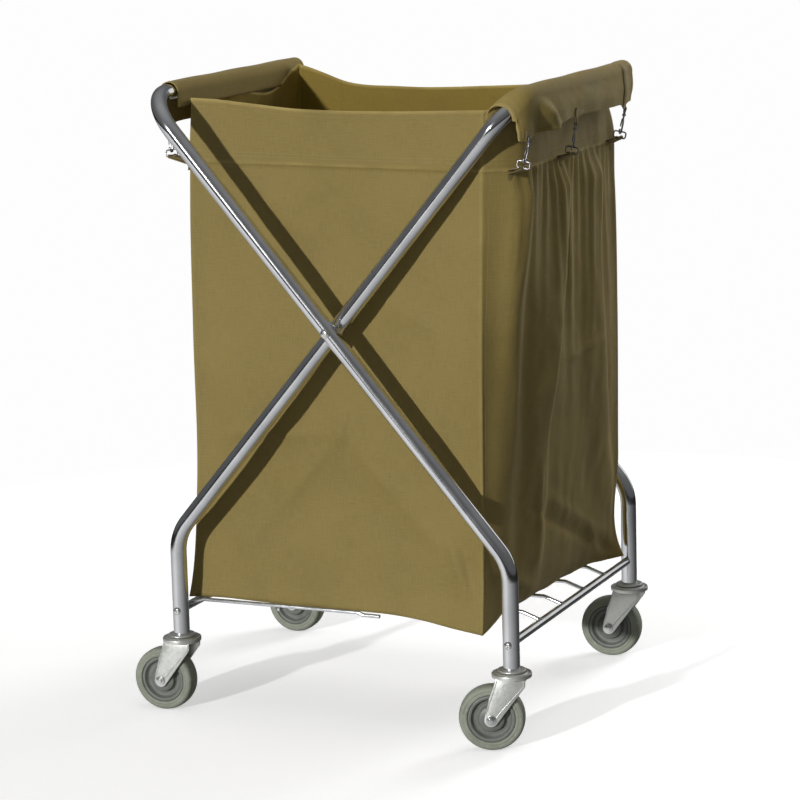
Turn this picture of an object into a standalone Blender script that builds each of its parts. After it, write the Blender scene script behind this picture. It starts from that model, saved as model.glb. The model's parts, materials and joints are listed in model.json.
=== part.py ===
"""Folding X-frame linen trolley: two crossed tube frames, a two-part wire rack, a hanging canvas bag,
six snap hooks and four swivel casters. Metres, +Z up, front face towards -Y."""

import math

import bmesh
import bpy
from mathutils import Matrix, Vector

# ---- driving dimensions --------------------------------------------------------------------
CENTRE = Vector((0.0243, 0.0028, 0.0))   # where the frame's own middle stands, so the whole box is centred

TUBE_R = 0.0127            # 25.4 mm frame tube
TUBE_WALL = 0.0015
GAP = 0.0003               # clearance where two pieces touch
LEG_X = 0.283              # half the distance between left and right legs
TOP_X = 0.294              # half the distance between the top bars
OUTER_Y = 0.268            # half depth of the outer frame
INNER_Y = 0.241            # half depth of the inner frame, nested inside the outer one
LEG_END_Z = 0.1245
KNEE_Z = 0.284             # where leg and diagonal would meet without the bend
TOP_Z = 0.969
KNEE_R = 0.075
CORNER_R = 0.070
PIVOT_Z = KNEE_Z + (TOP_Z - KNEE_Z) * LEG_X / (LEG_X + TOP_X)

BOLT_R = 0.0040
BOLT_HOLE_R = 0.0043
SCREW_R = 0.0030
SCREW_HOLE_R = 0.0033

RACK_Z = 0.163             # axis of the two lower cross bars
RACK_BAR_R = 0.0065
ROD_R = 0.0030
TIE_R = 0.0025             # cross wire
LEFT_RODS_Y = (0.2225, 0.120, 0.024)
RIGHT_RODS_Y = (0.145, 0.048)
LEFT_ROD_Z = 0.1770
RIGHT_ROD_Z = 0.1780
ROD_TIP_Z = 0.1735
TIE_X = 0.120
LEFT_TIP_X = 0.050
RIGHT_TIP_X = -0.060

WHEEL_R = 0.050
TRAIL = 0.0305             # swivel axis to wheel axis
AXLE_R = 0.0050
CASTERS = {
    "fl": (-LEG_X, -INNER_Y, 181.0),
    "bl": (-LEG_X, INNER_Y, 177.0),
    "fr": (LEG_X, -OUTER_Y, 197.0),
    "br": (LEG_X, OUTER_Y, 184.0),
}

BAG_BOTTOM = 0.1875
BAG_TOP = 0.9445
BAG_WALL = 0.0030
BAG_Y = 0.2220             # half depth of the bag
CLOTH = 0.0025
SKIRT_Z = 0.9455           # lower edge of the sleeve inside the bag
FLAP_Z = 0.9150            # lower edge of the sleeve's outer flap
FLAP_X = 0.0160            # flap's mid surface, outwards from the top bar's axis

HOOK_R = 0.0014
# y of each hook and how far it slants forward, in degrees
HOOKS = {
    "l": (-1, ((-0.165, 8.0), (0.030, 0.0), (0.225, 8.0))),
    "r": (1, ((-0.222, 16.0), (-0.028, 0.0), (0.197, 10.0))),
}

MATERIALS = {
    "chrome_tube": ((0.62, 0.63, 0.65), 0.18, 1.0),
    "zinc": ((0.60, 0.61, 0.60), 0.35, 1.0),
    "bright_screw": ((0.66, 0.66, 0.67), 0.25, 1.0),
    "rack_wire": ((0.58, 0.59, 0.60), 0.22, 1.0),
    "tyre_rubber": ((0.24, 0.26, 0.22), 0.65, 0.0),
    "hub_plastic": ((0.26, 0.28, 0.25), 0.50, 0.0),
    "canvas": ((0.26, 0.20, 0.085), 0.90, 0.0),
    "hook_nickel": ((0.55, 0.56, 0.57), 0.22, 1.0),
}

for old in list(bpy.data.objects):
    bpy.data.objects.remove(old)

parts = bpy.data.collections.new("linen_trolley")
cutters = bpy.data.collections.new("cutters")
bpy.context.scene.collection.children.link(parts)
bpy.context.scene.collection.children.link(cutters)


# ---- helpers -------------------------------------------------------------------------------
def material(slot, node):
    colour, roughness, metallic = MATERIALS[slot]
    mat = bpy.data.materials.new(f"{slot}_{node}")
    mat.use_nodes = True
    shader = mat.node_tree.nodes["Principled BSDF"]
    shader.inputs["Base Color"].default_value = (*colour, 1.0)
    shader.inputs["Roughness"].default_value = roughness
    shader.inputs["Metallic"].default_value = metallic
    mat.diffuse_color = (*colour, 1.0)
    return mat


def add_part(name, mesh, slot, matrix=None, smooth=True):
    """A named sub-part from a mesh drawn around the frame's own middle."""
    ob = bpy.data.objects.new(name, mesh)
    parts.objects.link(ob)
    ob.matrix_world = Matrix.Translation(CENTRE) @ (matrix or Matrix.Identity(4))
    mesh.materials.append(material(slot, name))
    if smooth:
        mesh.shade_smooth()
        mesh.set_sharp_from_angle(angle=math.radians(40))
    return ob


def add_cutter(name, bm, matrix=None):
    mesh = bpy.data.meshes.new(name)
    bm.to_mesh(mesh)
    bm.free()
    ob = bpy.data.objects.new(name, mesh)
    cutters.objects.link(ob)
    ob.matrix_world = Matrix.Translation(CENTRE) @ (matrix or Matrix.Identity(4))
    ob.hide_render = True
    ob.display_type = "WIRE"
    return ob


def boolean(ob, other, operation="DIFFERENCE"):
    mod = ob.modifiers.new(f"{operation.lower()}_{other.name}", "BOOLEAN")
    mod.operation = operation
    mod.solver = "EXACT"
    mod.object = other
    return mod


def rod_mesh(bm, start, end, radius, sides=12):
    """A capped straight rod between two points, added to bm."""
    start = Vector(start)
    end = Vector(end)
    axis = end - start
    turn = axis.to_track_quat("Z", "Y").to_matrix().to_4x4()
    bmesh.ops.create_cone(
        bm, cap_ends=True, segments=sides, radius1=radius, radius2=radius, depth=axis.length,
        matrix=Matrix.Translation((start + end) / 2) @ turn,
    )


def rods_cutter(name, rods, matrix=None, sides=16):
    bm = bmesh.new()
    for start, end, radius in rods:
        rod_mesh(bm, start, end, radius, sides)
    return add_cutter(name, bm, matrix)


def turned(name, profile, slot, matrix, steps=24, closed=False):
    """A body of revolution about local Z. profile is (radius, height) down its outer side."""
    bm = bmesh.new()
    verts = [bm.verts.new((r, 0.0, z)) for r, z in profile]
    for a, b in zip(verts, verts[1:]):
        bm.edges.new((a, b))
    if closed:
        bm.edges.new((verts[-1], verts[0]))
    mesh = bpy.data.meshes.new(name)
    bm.to_mesh(mesh)
    bm.free()
    ob = add_part(name, mesh, slot, matrix, smooth=False)
    mod = ob.modifiers.new("turn", "SCREW")
    mod.axis = "Z"
    mod.steps = steps
    mod.render_steps = steps
    mod.use_merge_vertices = True
    mod.merge_threshold = 0.00001
    mod.use_smooth_shade = True
    return ob


def rounded_path(corners, radii, segments):
    """Straight runs through corners, each inner corner replaced by an arc."""
    points = [Vector(corners[0])]
    for i in range(1, len(corners) - 1):
        before, corner, after = Vector(corners[i - 1]), Vector(corners[i]), Vector(corners[i + 1])
        d_in = (corner - before).normalized()
        d_out = (after - corner).normalized()
        turn = d_in.angle(d_out)
        reach = radii[i - 1] * math.tan(turn / 2)
        start = corner - d_in * reach
        normal = (d_out - d_in * d_in.dot(d_out)).normalized()
        centre = start + normal * radii[i - 1]
        steps = max(2, round(segments * turn / (math.pi / 2)))
        for k in range(steps + 1):
            a = turn * k / steps
            points.append(centre - normal * radii[i - 1] * math.cos(a) + d_in * radii[i - 1] * math.sin(a))
    points.append(Vector(corners[-1]))
    return points


def wire_mesh(name, points, radius, bevel_resolution, cyclic=False, caps=True):
    """The surface of a round wire that follows points."""
    curve = bpy.data.curves.new(name, "CURVE")
    curve.dimensions = "3D"
    curve.twist_mode = "MINIMUM"
    curve.bevel_depth = radius
    curve.bevel_resolution = bevel_resolution
    curve.use_fill_caps = caps
    spline = curve.splines.new("POLY")
    spline.points.add(len(points) - 1)
    for point, co in zip(spline.points, points):
        point.co = (*co, 1.0)
    spline.use_cyclic_u = cyclic
    holder = bpy.data.objects.new(name, curve)
    parts.objects.link(holder)
    evaluated = holder.evaluated_get(bpy.context.evaluated_depsgraph_get())
    mesh = bpy.data.meshes.new_from_object(evaluated)
    bpy.data.objects.remove(holder)
    bm = bmesh.new()
    bm.from_mesh(mesh)
    bmesh.ops.remove_doubles(bm, verts=bm.verts, dist=0.00001)
    bmesh.ops.recalc_face_normals(bm, faces=bm.faces)
    bm.to_mesh(mesh)
    bm.free()
    mesh.name = name
    return mesh


# ---- the two tube frames -------------------------------------------------------------------
def tube_frame(name, leg_side, half_depth):
    """leg_side +1: legs on the right and top bar on the left. -1: the other way round."""
    leg_x = LEG_X * leg_side
    top_x = -TOP_X * leg_side
    corners = [
        (leg_x, -half_depth, LEG_END_Z),
        (leg_x, -half_depth, KNEE_Z),
        (top_x, -half_depth, TOP_Z),
        (top_x, half_depth, TOP_Z),
        (leg_x, half_depth, KNEE_Z),
        (leg_x, half_depth, LEG_END_Z),
    ]
    path = rounded_path(corners, (KNEE_R, CORNER_R, CORNER_R, KNEE_R), 8)
    mesh = wire_mesh(name, path, TUBE_R, 4, caps=False)
    ob = add_part(name, mesh, "chrome_tube")
    wall = ob.modifiers.new("wall", "SOLIDIFY")
    wall.thickness = TUBE_WALL
    wall.offset = -1.0
    holes = []
    for side in (-1, 1):
        y = half_depth * side
        holes.append(((0, y - 0.03, PIVOT_Z), (0, y + 0.03, PIVOT_Z), BOLT_HOLE_R))
        holes.append(((leg_x, y - 0.03, RACK_Z), (leg_x, y + 0.03, RACK_Z), SCREW_HOLE_R))
    boolean(ob, rods_cutter(f"{name}_holes", holes))
    return ob


tube_frame("frame_outer", 1, OUTER_Y)
tube_frame("frame_inner", -1, INNER_Y)


# ---- pivots where the frames cross ---------------------------------------------------------
def along_y(x, y, z, side):
    """Local +Z points outwards, away from the middle of the trolley."""
    return Matrix.Translation((x, y, z)) @ Matrix.Rotation(math.radians(90 if side < 0 else -90), 4, "X")


OUTER_FACE = OUTER_Y + TUBE_R
INNER_FACE = INNER_Y - TUBE_R
WASHER_IN = INNER_Y + TUBE_R + GAP
WASHER_OUT = OUTER_Y - TUBE_R - GAP
NUT_IN = INNER_FACE - GAP - 0.0030

for where, side in (("front", -1), ("rear", 1)):
    head = OUTER_FACE + GAP
    turned(
        f"pivot_bolt_{where}",
        [(0, head + 0.0042), (0.0040, head + 0.0038), (0.0068, head + 0.0022), (0.0076, head),
         (BOLT_R, head), (BOLT_R, NUT_IN + 0.0004), (0, NUT_IN + 0.0004)],
        "bright_screw", along_y(0, 0, PIVOT_Z, side), steps=16,
    )
    turned(
        f"pivot_washer_{where}",
        [(0.0085, WASHER_OUT), (0.0085, WASHER_IN), (BOLT_HOLE_R, WASHER_IN), (BOLT_HOLE_R, WASHER_OUT)],
        "zinc", along_y(0, 0, PIVOT_Z, side), steps=16, closed=True,
    )
    turned(
        f"pivot_nut_{where}",
        [(0.0070, INNER_FACE - GAP), (0.0074, NUT_IN + 0.0006), (0.0066, NUT_IN), (BOLT_HOLE_R, NUT_IN),
         (BOLT_HOLE_R, INNER_FACE - GAP)],
        "bright_screw", along_y(0, 0, PIVOT_Z, side), steps=12, closed=True,
    )


# ---- folding wire rack: two halves that slide through each other ---------------------------
def rack_half(name, side, half_depth, rods_y, rod_z, tip_x, tie_z, tie_half):
    """A cross bar with welded rods and one cross wire, as one welded piece."""
    bar_x = LEG_X * side
    bar_end = half_depth - TUBE_R - 0.0005
    bm = bmesh.new()
    rod_mesh(bm, (bar_x, -bar_end, RACK_Z), (bar_x, bar_end, RACK_Z), RACK_BAR_R, 16)
    mesh = bpy.data.meshes.new(name)
    bm.to_mesh(mesh)
    bm.free()
    ob = add_part(name, mesh, "rack_wire")
    rods = [y * s for y in rods_y for s in (-1, 1)]
    for i, y in enumerate(rods):
        rise_x = bar_x - 0.030 * side
        if side < 0:
            path = [(bar_x, y, RACK_Z + 0.0045), (rise_x, y, rod_z), (tip_x - 0.036, y, rod_z),
                    (tip_x - 0.028, y, ROD_TIP_Z), (tip_x, y, ROD_TIP_Z)]
        else:
            path = [(bar_x, y, RACK_Z + 0.0045), (rise_x, y, rod_z), (tip_x, y, rod_z)]
        rod = bpy.data.objects.new(f"{name}_rod_{i}", wire_mesh(f"{name}_rod_{i}", path, ROD_R, 2))
        cutters.objects.link(rod)
        rod.matrix_world = Matrix.Translation(CENTRE)
        rod.hide_render = True
        rod.display_type = "WIRE"
        boolean(ob, rod, "UNION")
    tie = rods_cutter(f"{name}_tie", [((TIE_X * side, -tie_half, tie_z), (TIE_X * side, tie_half, tie_z), TIE_R)],
                      sides=8)
    boolean(ob, tie, "UNION")
    bores = [((bar_x, s * (bar_end - 0.022), RACK_Z), (bar_x, s * (bar_end + 0.01), RACK_Z), SCREW_HOLE_R)
             for s in (-1, 1)]
    boolean(ob, rods_cutter(f"{name}_bores", bores))
    return ob


rack_half("rack_left", -1, INNER_Y, LEFT_RODS_Y, LEFT_ROD_Z, LEFT_TIP_X, LEFT_ROD_Z - 0.0050, 0.2275)
rack_half("rack_right", 1, OUTER_Y, RIGHT_RODS_Y, RIGHT_ROD_Z, RIGHT_TIP_X, RIGHT_ROD_Z + 0.0050, 0.150)

for corner, x, half_depth, side in (
    ("fl", -LEG_X, INNER_Y, -1), ("bl", -LEG_X, INNER_Y, 1), ("fr", LEG_X, OUTER_Y, -1), ("br", LEG_X, OUTER_Y, 1),
):
    head = half_depth + TUBE_R + GAP
    turned(
        f"rack_screw_{corner}",
        [(0, head + 0.0034), (0.0036, head + 0.0030), (0.0058, head + 0.0016), (0.0062, head),
         (SCREW_R, head), (SCREW_R, half_depth - 0.033), (0, half_depth - 0.033)],
        "bright_screw", along_y(x, 0, RACK_Z, side), steps=12,
    )


# ---- casters -------------------------------------------------------------------------------
PLATE_BOTTOM = 0.1210
DISC_TOP = 0.1205
DISC_BOTTOM = 0.1125
ARM_IN = 0.0185
ARM_OUT = 0.0210


def fork_arm_outline():
    """Side outline of a fork arm: x towards the wheel, z up."""
    outline = [(-0.0215, 0.1135), (-0.0215, 0.1060)]
    boss = 0.0105
    for k in range(7):
        a = math.radians(215 + (368 - 215) * k / 6)
        outline.append((TRAIL + boss * math.cos(a), WHEEL_R + boss * math.sin(a)))
    outline += [(0.0300, 0.0900), (0.0215, 0.1135)]
    return outline


def caster(corner, x, y, yaw):
    turn = math.radians(yaw)
    at_leg = Matrix.Translation((x, y, 0))
    swivel = at_leg @ Matrix.Rotation(turn, 4, "Z")
    turned(
        f"caster_stem_{corner}",
        [(0, 0.1520), (0.0095, 0.1520), (0.0108, 0.1500), (0.0108, LEG_END_Z - 0.0005),
         (0.0215, LEG_END_Z - 0.0005), (0.0220, 0.1225), (0.0215, PLATE_BOTTOM), (0.0050, PLATE_BOTTOM),
         (0.0050, DISC_BOTTOM - 0.0005), (0.0090, DISC_BOTTOM - 0.0005), (0.0080, 0.1090), (0, 0.1090)],
        "zinc", at_leg, steps=18,
    )
    bm = bmesh.new()
    bmesh.ops.create_cone(bm, cap_ends=True, segments=24, radius1=0.0305, radius2=0.0290,
                          depth=DISC_TOP - DISC_BOTTOM,
                          matrix=Matrix.Translation((0, 0, (DISC_TOP + DISC_BOTTOM) / 2)))
    mesh = bpy.data.meshes.new(f"caster_fork_{corner}")
    bm.to_mesh(mesh)
    bm.free()
    fork = add_part(f"caster_fork_{corner}", mesh, "zinc", swivel)
    for side in (-1, 1):
        bm = bmesh.new()
        near, far = (ARM_IN * side, ARM_OUT * side)
        face = bm.faces.new([bm.verts.new((px, near, pz)) for px, pz in fork_arm_outline()])
        made = bmesh.ops.extrude_face_region(bm, geom=[face])
        moved = [v for v in made["geom"] if isinstance(v, bmesh.types.BMVert)]
        bmesh.ops.translate(bm, verts=moved, vec=(0, far - near, 0))
        bmesh.ops.recalc_face_normals(bm, faces=bm.faces)
        boolean(fork, add_cutter(f"arm_{corner}_{'n' if side < 0 else 'f'}", bm, swivel), "UNION")
    boolean(fork, rods_cutter(
        f"fork_holes_{corner}",
        [((0, 0, DISC_BOTTOM - 0.01), (0, 0, DISC_TOP + 0.01), 0.0055),
         ((TRAIL, -0.03, WHEEL_R), (TRAIL, 0.03, WHEEL_R), AXLE_R + GAP)],
        swivel,
    ))

    along = Vector((math.cos(turn), math.sin(turn), 0))
    across = Vector((-math.sin(turn), math.cos(turn), 0))
    hub_at = Vector((x, y, WHEEL_R)) + along * TRAIL
    wheel = Matrix.Translation(hub_at) @ Matrix((along, (0, 0, -1), across)).transposed().to_4x4()
    turned(
        f"caster_axle_{corner}",
        [(0, 0.0255), (0.0058, 0.0250), (0.0072, 0.0236), (0.0072, ARM_OUT + GAP), (AXLE_R, ARM_OUT + GAP),
         (AXLE_R, -ARM_OUT - GAP), (0.0072, -ARM_OUT - GAP), (0.0072, -0.0236), (0.0058, -0.0250), (0, -0.0255)],
        "bright_screw", wheel, steps=12,
    )
    turned(
        f"caster_hub_{corner}",
        [(0.0360, 0.0130), (0.0360, -0.0130), (0.0300, -0.0135), (0.0285, -0.0070), (0.0205, -0.0070),
         (0.0190, -0.0140), (0.0110, -0.0178), (AXLE_R + GAP, -0.0178), (AXLE_R + GAP, 0.0178),
         (0.0110, 0.0178), (0.0190, 0.0140), (0.0205, 0.0070), (0.0285, 0.0070), (0.0300, 0.0135)],
        "hub_plastic", wheel, steps=20, closed=True,
    )
    turned(
        f"caster_tyre_{corner}",
        [(0.0360 + GAP, 0.0135), (0.0440, 0.0150), (0.0478, 0.0138), (0.0496, 0.0100), (WHEEL_R, 0.0030),
         (WHEEL_R, -0.0030), (0.0496, -0.0100), (0.0478, -0.0138), (0.0440, -0.0150), (0.0360 + GAP, -0.0135)],
        "tyre_rubber", wheel, steps=28, closed=True,
    )


for corner, (x, y, yaw) in CASTERS.items():
    caster(corner, x, y, yaw)


# ---- canvas bag ----------------------------------------------------------------------------
# The sides belly out towards the back and draw in towards the rack, and the front hangs further back at its
# left corner. Distances from the middle are given front to back at each station along y.
RIGHT_SIDE_Y = (-BAG_Y, -0.175, -0.095, 0.050, 0.150, BAG_Y)
LEFT_SIDE_Y = (-0.180, -0.150, -0.090, 0.050, 0.150, BAG_Y)
BAG_LEVELS = (
    # z, right side, left side
    (BAG_BOTTOM, (0.222, 0.240, 0.246, 0.250, 0.262, 0.276), (0.278, 0.270, 0.264, 0.262, 0.262, 0.260)),
    (0.235, (0.222, 0.246, 0.256, 0.262, 0.270, 0.278), (0.280, 0.276, 0.272, 0.270, 0.268, 0.262)),
    (0.400, (0.224, 0.256, 0.270, 0.277, 0.282, 0.284), (0.280, 0.279, 0.278, 0.276, 0.272, 0.267)),
    (0.650, (0.228, 0.270, 0.279, 0.283, 0.284, 0.284), (0.275, 0.279, 0.280, 0.279, 0.276, 0.270)),
    (BAG_TOP, (0.236, 0.275, 0.277, 0.277, 0.275, 0.252), (0.264, 0.273, 0.277, 0.277, 0.275, 0.266)),
)


def bag_outline(right, left):
    """Plan of the bag's outside at one level, anticlockwise from the front right corner."""
    outline = list(zip(right, RIGHT_SIDE_Y))
    return outline + [(-px, py) for px, py in reversed(list(zip(left, LEFT_SIDE_Y)))]


bm = bmesh.new()
rings = []
for z, right, left in BAG_LEVELS:
    rings.append([bm.verts.new((px, py, z)) for px, py in bag_outline(right, left)])
for low, high in zip(rings, rings[1:]):
    for k in range(len(low)):
        n = (k + 1) % len(low)
        bm.faces.new((low[k], low[n], high[n], high[k]))
bm.faces.new(list(reversed(rings[0])))
mesh = bpy.data.meshes.new("bag_body")
bm.to_mesh(mesh)
bm.free()
bag = add_part("bag_body", mesh, "canvas", smooth=False)
wall = bag.modifiers.new("wall", "SOLIDIFY")
wall.thickness = BAG_WALL
wall.offset = -1.0
wall.use_even_offset = True


def extruded_section(name, section, bar_x, side, y_low, y_high):
    """A closed outline in the XZ plane, outwards from the bar's axis, run along Y."""
    bm = bmesh.new()
    face = bm.faces.new([bm.verts.new((bar_x + px * side, y_low, pz)) for px, pz in section])
    made = bmesh.ops.extrude_face_region(bm, geom=[face])
    moved = [v for v in made["geom"] if isinstance(v, bmesh.types.BMVert)]
    bmesh.ops.translate(bm, verts=moved, vec=(0, y_high - y_low, 0))
    bmesh.ops.recalc_face_normals(bm, faces=bm.faces)
    return bm


def arc(radius, first, last, steps):
    """Points over the bar, from its inner side at 180 degrees to its outer side at 0."""
    turns = [math.radians(first + (last - first) * k / steps) for k in range(steps + 1)]
    return [(radius * math.cos(a), TOP_Z + radius * math.sin(a)) for a in turns]


def sleeve(name, side, skirt_y, flap_y):
    """Cloth over a top bar: a flap hangs outside, and a shorter skirt hangs inside between the bends."""
    bar_x = TOP_X * side
    inner = TUBE_R + 0.0006
    outer = inner + CLOTH
    flap = arc(inner, 95, 0, 5)
    flap += [(FLAP_X - CLOTH / 2, FLAP_Z), (FLAP_X + CLOTH / 2, FLAP_Z)]
    flap += arc(outer, 0, 95, 5)
    bm = extruded_section(name, flap, bar_x, side, *flap_y)
    mesh = bpy.data.meshes.new(name)
    bm.to_mesh(mesh)
    bm.free()
    ob = add_part(name, mesh, "canvas")
    thin = 0.0002
    skirt = arc(inner + thin, 85, 180, 5)
    skirt += [(-inner - thin, SKIRT_Z), (-outer + thin, SKIRT_Z)]
    skirt += arc(outer - thin, 180, 85, 5)
    boolean(ob, add_cutter(f"{name}_skirt", extruded_section(name, skirt, bar_x, side, *skirt_y)), "UNION")
    return ob


sleeve("bag_sleeve_left", -1, (-0.186, 0.194), (-0.190, 0.262))
sleeve("bag_sleeve_right", 1, (-0.166, 0.166), (-0.242, 0.256))


# ---- snap hooks and their rings ------------------------------------------------------------
HOOK_TOP_Z = FLAP_Z - 0.0052
EYE_R = 0.0034
BOW_R = 0.0050
BOW_Z = -0.0310            # centre of the hook's bow, below the eye's centre


def hook_path():
    """Open eye, shank and bow in the local YZ plane, around the eye's centre."""
    points = []
    for k in range(9):
        a = math.radians(-60 + 300 * k / 8)
        points.append((0, EYE_R * math.cos(a), EYE_R * math.sin(a)))
    points = list(reversed(points))
    points = points[:-1] + [(0, 0.0013, -0.0036), (0, 0.0013, -0.0110)]
    points.append((0, BOW_R, -0.0180))
    for k in range(7):
        a = math.radians(0 - 200 * k / 6)
        points.append((0, BOW_R * math.cos(a), BOW_Z + BOW_R * math.sin(a)))
    return points


def ring_path():
    """Rounded rectangle in the local XZ plane, hanging in the hook's bow."""
    width, height, bend = 0.0100, 0.0050, 0.0030
    top = BOW_Z - BOW_R + HOOK_R + 0.0012 + 0.0004
    points = []
    for cx, cz, start in ((1, 1, 0), (-1, 1, 90), (-1, -1, 180), (1, -1, 270)):
        for k in range(3):
            a = math.radians(start + 45 * k)
            points.append((cx * (width - bend) + bend * math.cos(a), 0,
                           top - height + cz * (height - bend) + bend * math.sin(a)))
    return points


for letter, (side, spots) in HOOKS.items():
    for number, (y, slant) in enumerate(spots, start=1):
        hang = (
            Matrix.Translation(((TOP_X + FLAP_X) * side, y, HOOK_TOP_Z))
            @ Matrix.Rotation(math.radians(10 * side), 4, "Y")
            @ Matrix.Rotation(math.radians(-slant), 4, "X")
        )
        tag = f"{letter}{number}"
        add_part(f"snap_hook_{tag}", wire_mesh(f"snap_hook_{tag}", hook_path(), HOOK_R, 1), "hook_nickel", hang)
        gate = [(0, -0.0028, -0.0125), (0, -0.0049, BOW_Z + 0.0060)]
        add_part(f"snap_gate_{tag}", wire_mesh(f"snap_gate_{tag}", gate, 0.0011, 1), "hook_nickel", hang)
        add_part(f"d_ring_{tag}", wire_mesh(f"d_ring_{tag}", ring_path(), 0.0012, 1, cyclic=True),
                 "hook_nickel", hang)
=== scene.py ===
"""Looks of the folding linen trolley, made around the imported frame. Metres, +Z up, front towards -Y."""
import json
import math
import random

import bmesh
import bpy
import numpy as np
from mathutils import Matrix, Vector, noise


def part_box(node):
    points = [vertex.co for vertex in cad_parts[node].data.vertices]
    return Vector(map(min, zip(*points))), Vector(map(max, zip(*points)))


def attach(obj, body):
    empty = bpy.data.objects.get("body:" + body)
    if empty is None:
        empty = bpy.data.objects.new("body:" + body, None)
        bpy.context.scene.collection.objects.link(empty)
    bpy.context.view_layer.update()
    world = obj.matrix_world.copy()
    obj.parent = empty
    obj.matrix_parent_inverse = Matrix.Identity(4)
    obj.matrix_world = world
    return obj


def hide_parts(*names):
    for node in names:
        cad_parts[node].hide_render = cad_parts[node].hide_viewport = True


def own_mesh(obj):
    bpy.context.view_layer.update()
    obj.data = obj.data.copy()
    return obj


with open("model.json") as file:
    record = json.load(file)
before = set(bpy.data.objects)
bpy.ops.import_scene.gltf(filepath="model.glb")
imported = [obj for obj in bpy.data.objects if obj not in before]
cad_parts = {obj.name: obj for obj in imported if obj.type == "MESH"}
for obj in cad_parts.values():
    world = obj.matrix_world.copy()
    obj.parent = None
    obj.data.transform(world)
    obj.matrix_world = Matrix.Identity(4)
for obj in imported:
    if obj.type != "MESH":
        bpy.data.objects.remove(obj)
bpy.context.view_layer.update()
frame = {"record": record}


# ---- measures read from the frame ----------------------------------------------------------
def middle_of(node):
    low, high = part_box(node)
    return (low + high) / 2


BODY_OF = {node: body for body, nodes in frame["record"]["behaviour"]["bodies"].items() for node in nodes}
OUTER_LOW, OUTER_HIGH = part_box("frame_outer")
INNER_LOW, INNER_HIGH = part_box("frame_inner")
PIVOT = middle_of("pivot_bolt_front")
MIDDLE = Vector((PIVOT.x, (OUTER_LOW.y + OUTER_HIGH.y) / 2, 0.0))

LEG_X = (middle_of("caster_stem_fr").x - middle_of("caster_stem_fl").x) / 2
TUBE_R = OUTER_HIGH.x - MIDDLE.x - LEG_X
OUTER_Y = (OUTER_HIGH.y - OUTER_LOW.y) / 2 - TUBE_R
INNER_Y = (INNER_HIGH.y - INNER_LOW.y) / 2 - TUBE_R
TOP_X = MIDDLE.x - OUTER_LOW.x - TUBE_R
TOP_Z = OUTER_HIGH.z - TUBE_R
LEG_END_Z = OUTER_LOW.z
PIVOT_SHARE = LEG_X / (LEG_X + TOP_X)
KNEE_Z = (PIVOT.z - TOP_Z * PIVOT_SHARE) / (1 - PIVOT_SHARE)
KNEE_R = 0.075
CORNER_R = 0.070
GAP = 0.0003

RACK_Z = middle_of("rack_screw_fl").z
RACK_BAR_R = 0.0065
ROD_R = 0.0030
TIE_R = 0.0025
WHEEL_R = 0.050
TRAIL = 0.0305
CORNERS = {"fl": (-1, -INNER_Y), "bl": (-1, INNER_Y), "fr": (1, -OUTER_Y), "br": (1, OUTER_Y)}


# ---- mesh helpers --------------------------------------------------------------------------
def shown(name, data):
    """A new object in the scene for a mesh, light or camera."""
    ob = bpy.data.objects.new(name, data)
    bpy.context.scene.collection.objects.link(ob)
    return ob


def mesh_of(name, bm):
    """A mesh made from bm, which is freed."""
    mesh = bpy.data.meshes.new(name)
    bm.to_mesh(mesh)
    bm.free()
    return mesh


def rounded_path(corners, radii, segments):
    """Straight runs through corners, each inner corner replaced by an arc of its radius."""
    points = [Vector(corners[0])]
    for i in range(1, len(corners) - 1):
        before, corner, after = Vector(corners[i - 1]), Vector(corners[i]), Vector(corners[i + 1])
        d_in = (corner - before).normalized()
        d_out = (after - corner).normalized()
        turn = d_in.angle(d_out)
        radius = radii[i - 1]
        start = corner - d_in * radius * math.tan(turn / 2)
        normal = (d_out - d_in * d_in.dot(d_out)).normalized()
        steps = max(2, round(segments * turn / (math.pi / 2)))
        for k in range(steps + 1):
            a = turn * k / steps
            points.append(start + normal * radius * (1 - math.cos(a)) + d_in * radius * math.sin(a))
    points.append(Vector(corners[-1]))
    return points


def sweep(bm, points, radius, sides=24, cyclic=False):
    """A round bar of one radius, or of a radius for each point, along points."""
    points = [Vector(p) for p in points]
    count = len(points)
    radii = radius if isinstance(radius, list) else [radius] * count
    side = None
    rings = []
    for i, point in enumerate(points):
        before = points[i - 1] if i or cyclic else point
        after = points[(i + 1) % count] if i < count - 1 or cyclic else point
        tangent = (after - before).normalized()
        if side is None:
            side = tangent.orthogonal()
        side = (side - tangent * side.dot(tangent)).normalized()
        other = tangent.cross(side)
        rings.append([
            bm.verts.new(point + (side * math.cos(a) + other * math.sin(a)) * radii[i])
            for a in (2 * math.pi * k / sides for k in range(sides))
        ])
    pairs = list(zip(rings, rings[1:]))
    if cyclic:
        pairs.append((rings[-1], rings[0]))
    else:
        bm.faces.new(reversed(rings[0]))
        bm.faces.new(rings[-1])
    for a, b in pairs:
        for k in range(sides):
            n = (k + 1) % sides
            bm.faces.new((a[k], a[n], b[n], b[k]))


def lathe(bm, profile, matrix, steps=48, closed=False):
    """A body of revolution about the matrix's Z, from (radius, height) points."""
    rows = []
    for radius, height in profile:
        if radius < 1e-6:
            rows.append([bm.verts.new(matrix @ Vector((0, 0, height)))])
            continue
        rows.append([
            bm.verts.new(matrix @ Vector((radius * math.cos(a), radius * math.sin(a), height)))
            for a in (2 * math.pi * k / steps for k in range(steps))
        ])
    pairs = list(zip(rows, rows[1:]))
    if closed:
        pairs.append((rows[-1], rows[0]))
    for a, b in pairs:
        for k in range(steps):
            n = k + 1
            corner = [a[k % len(a)], a[n % len(a)], b[n % len(b)], b[k % len(b)]]
            bm.faces.new(list(dict.fromkeys(corner)))


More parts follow.
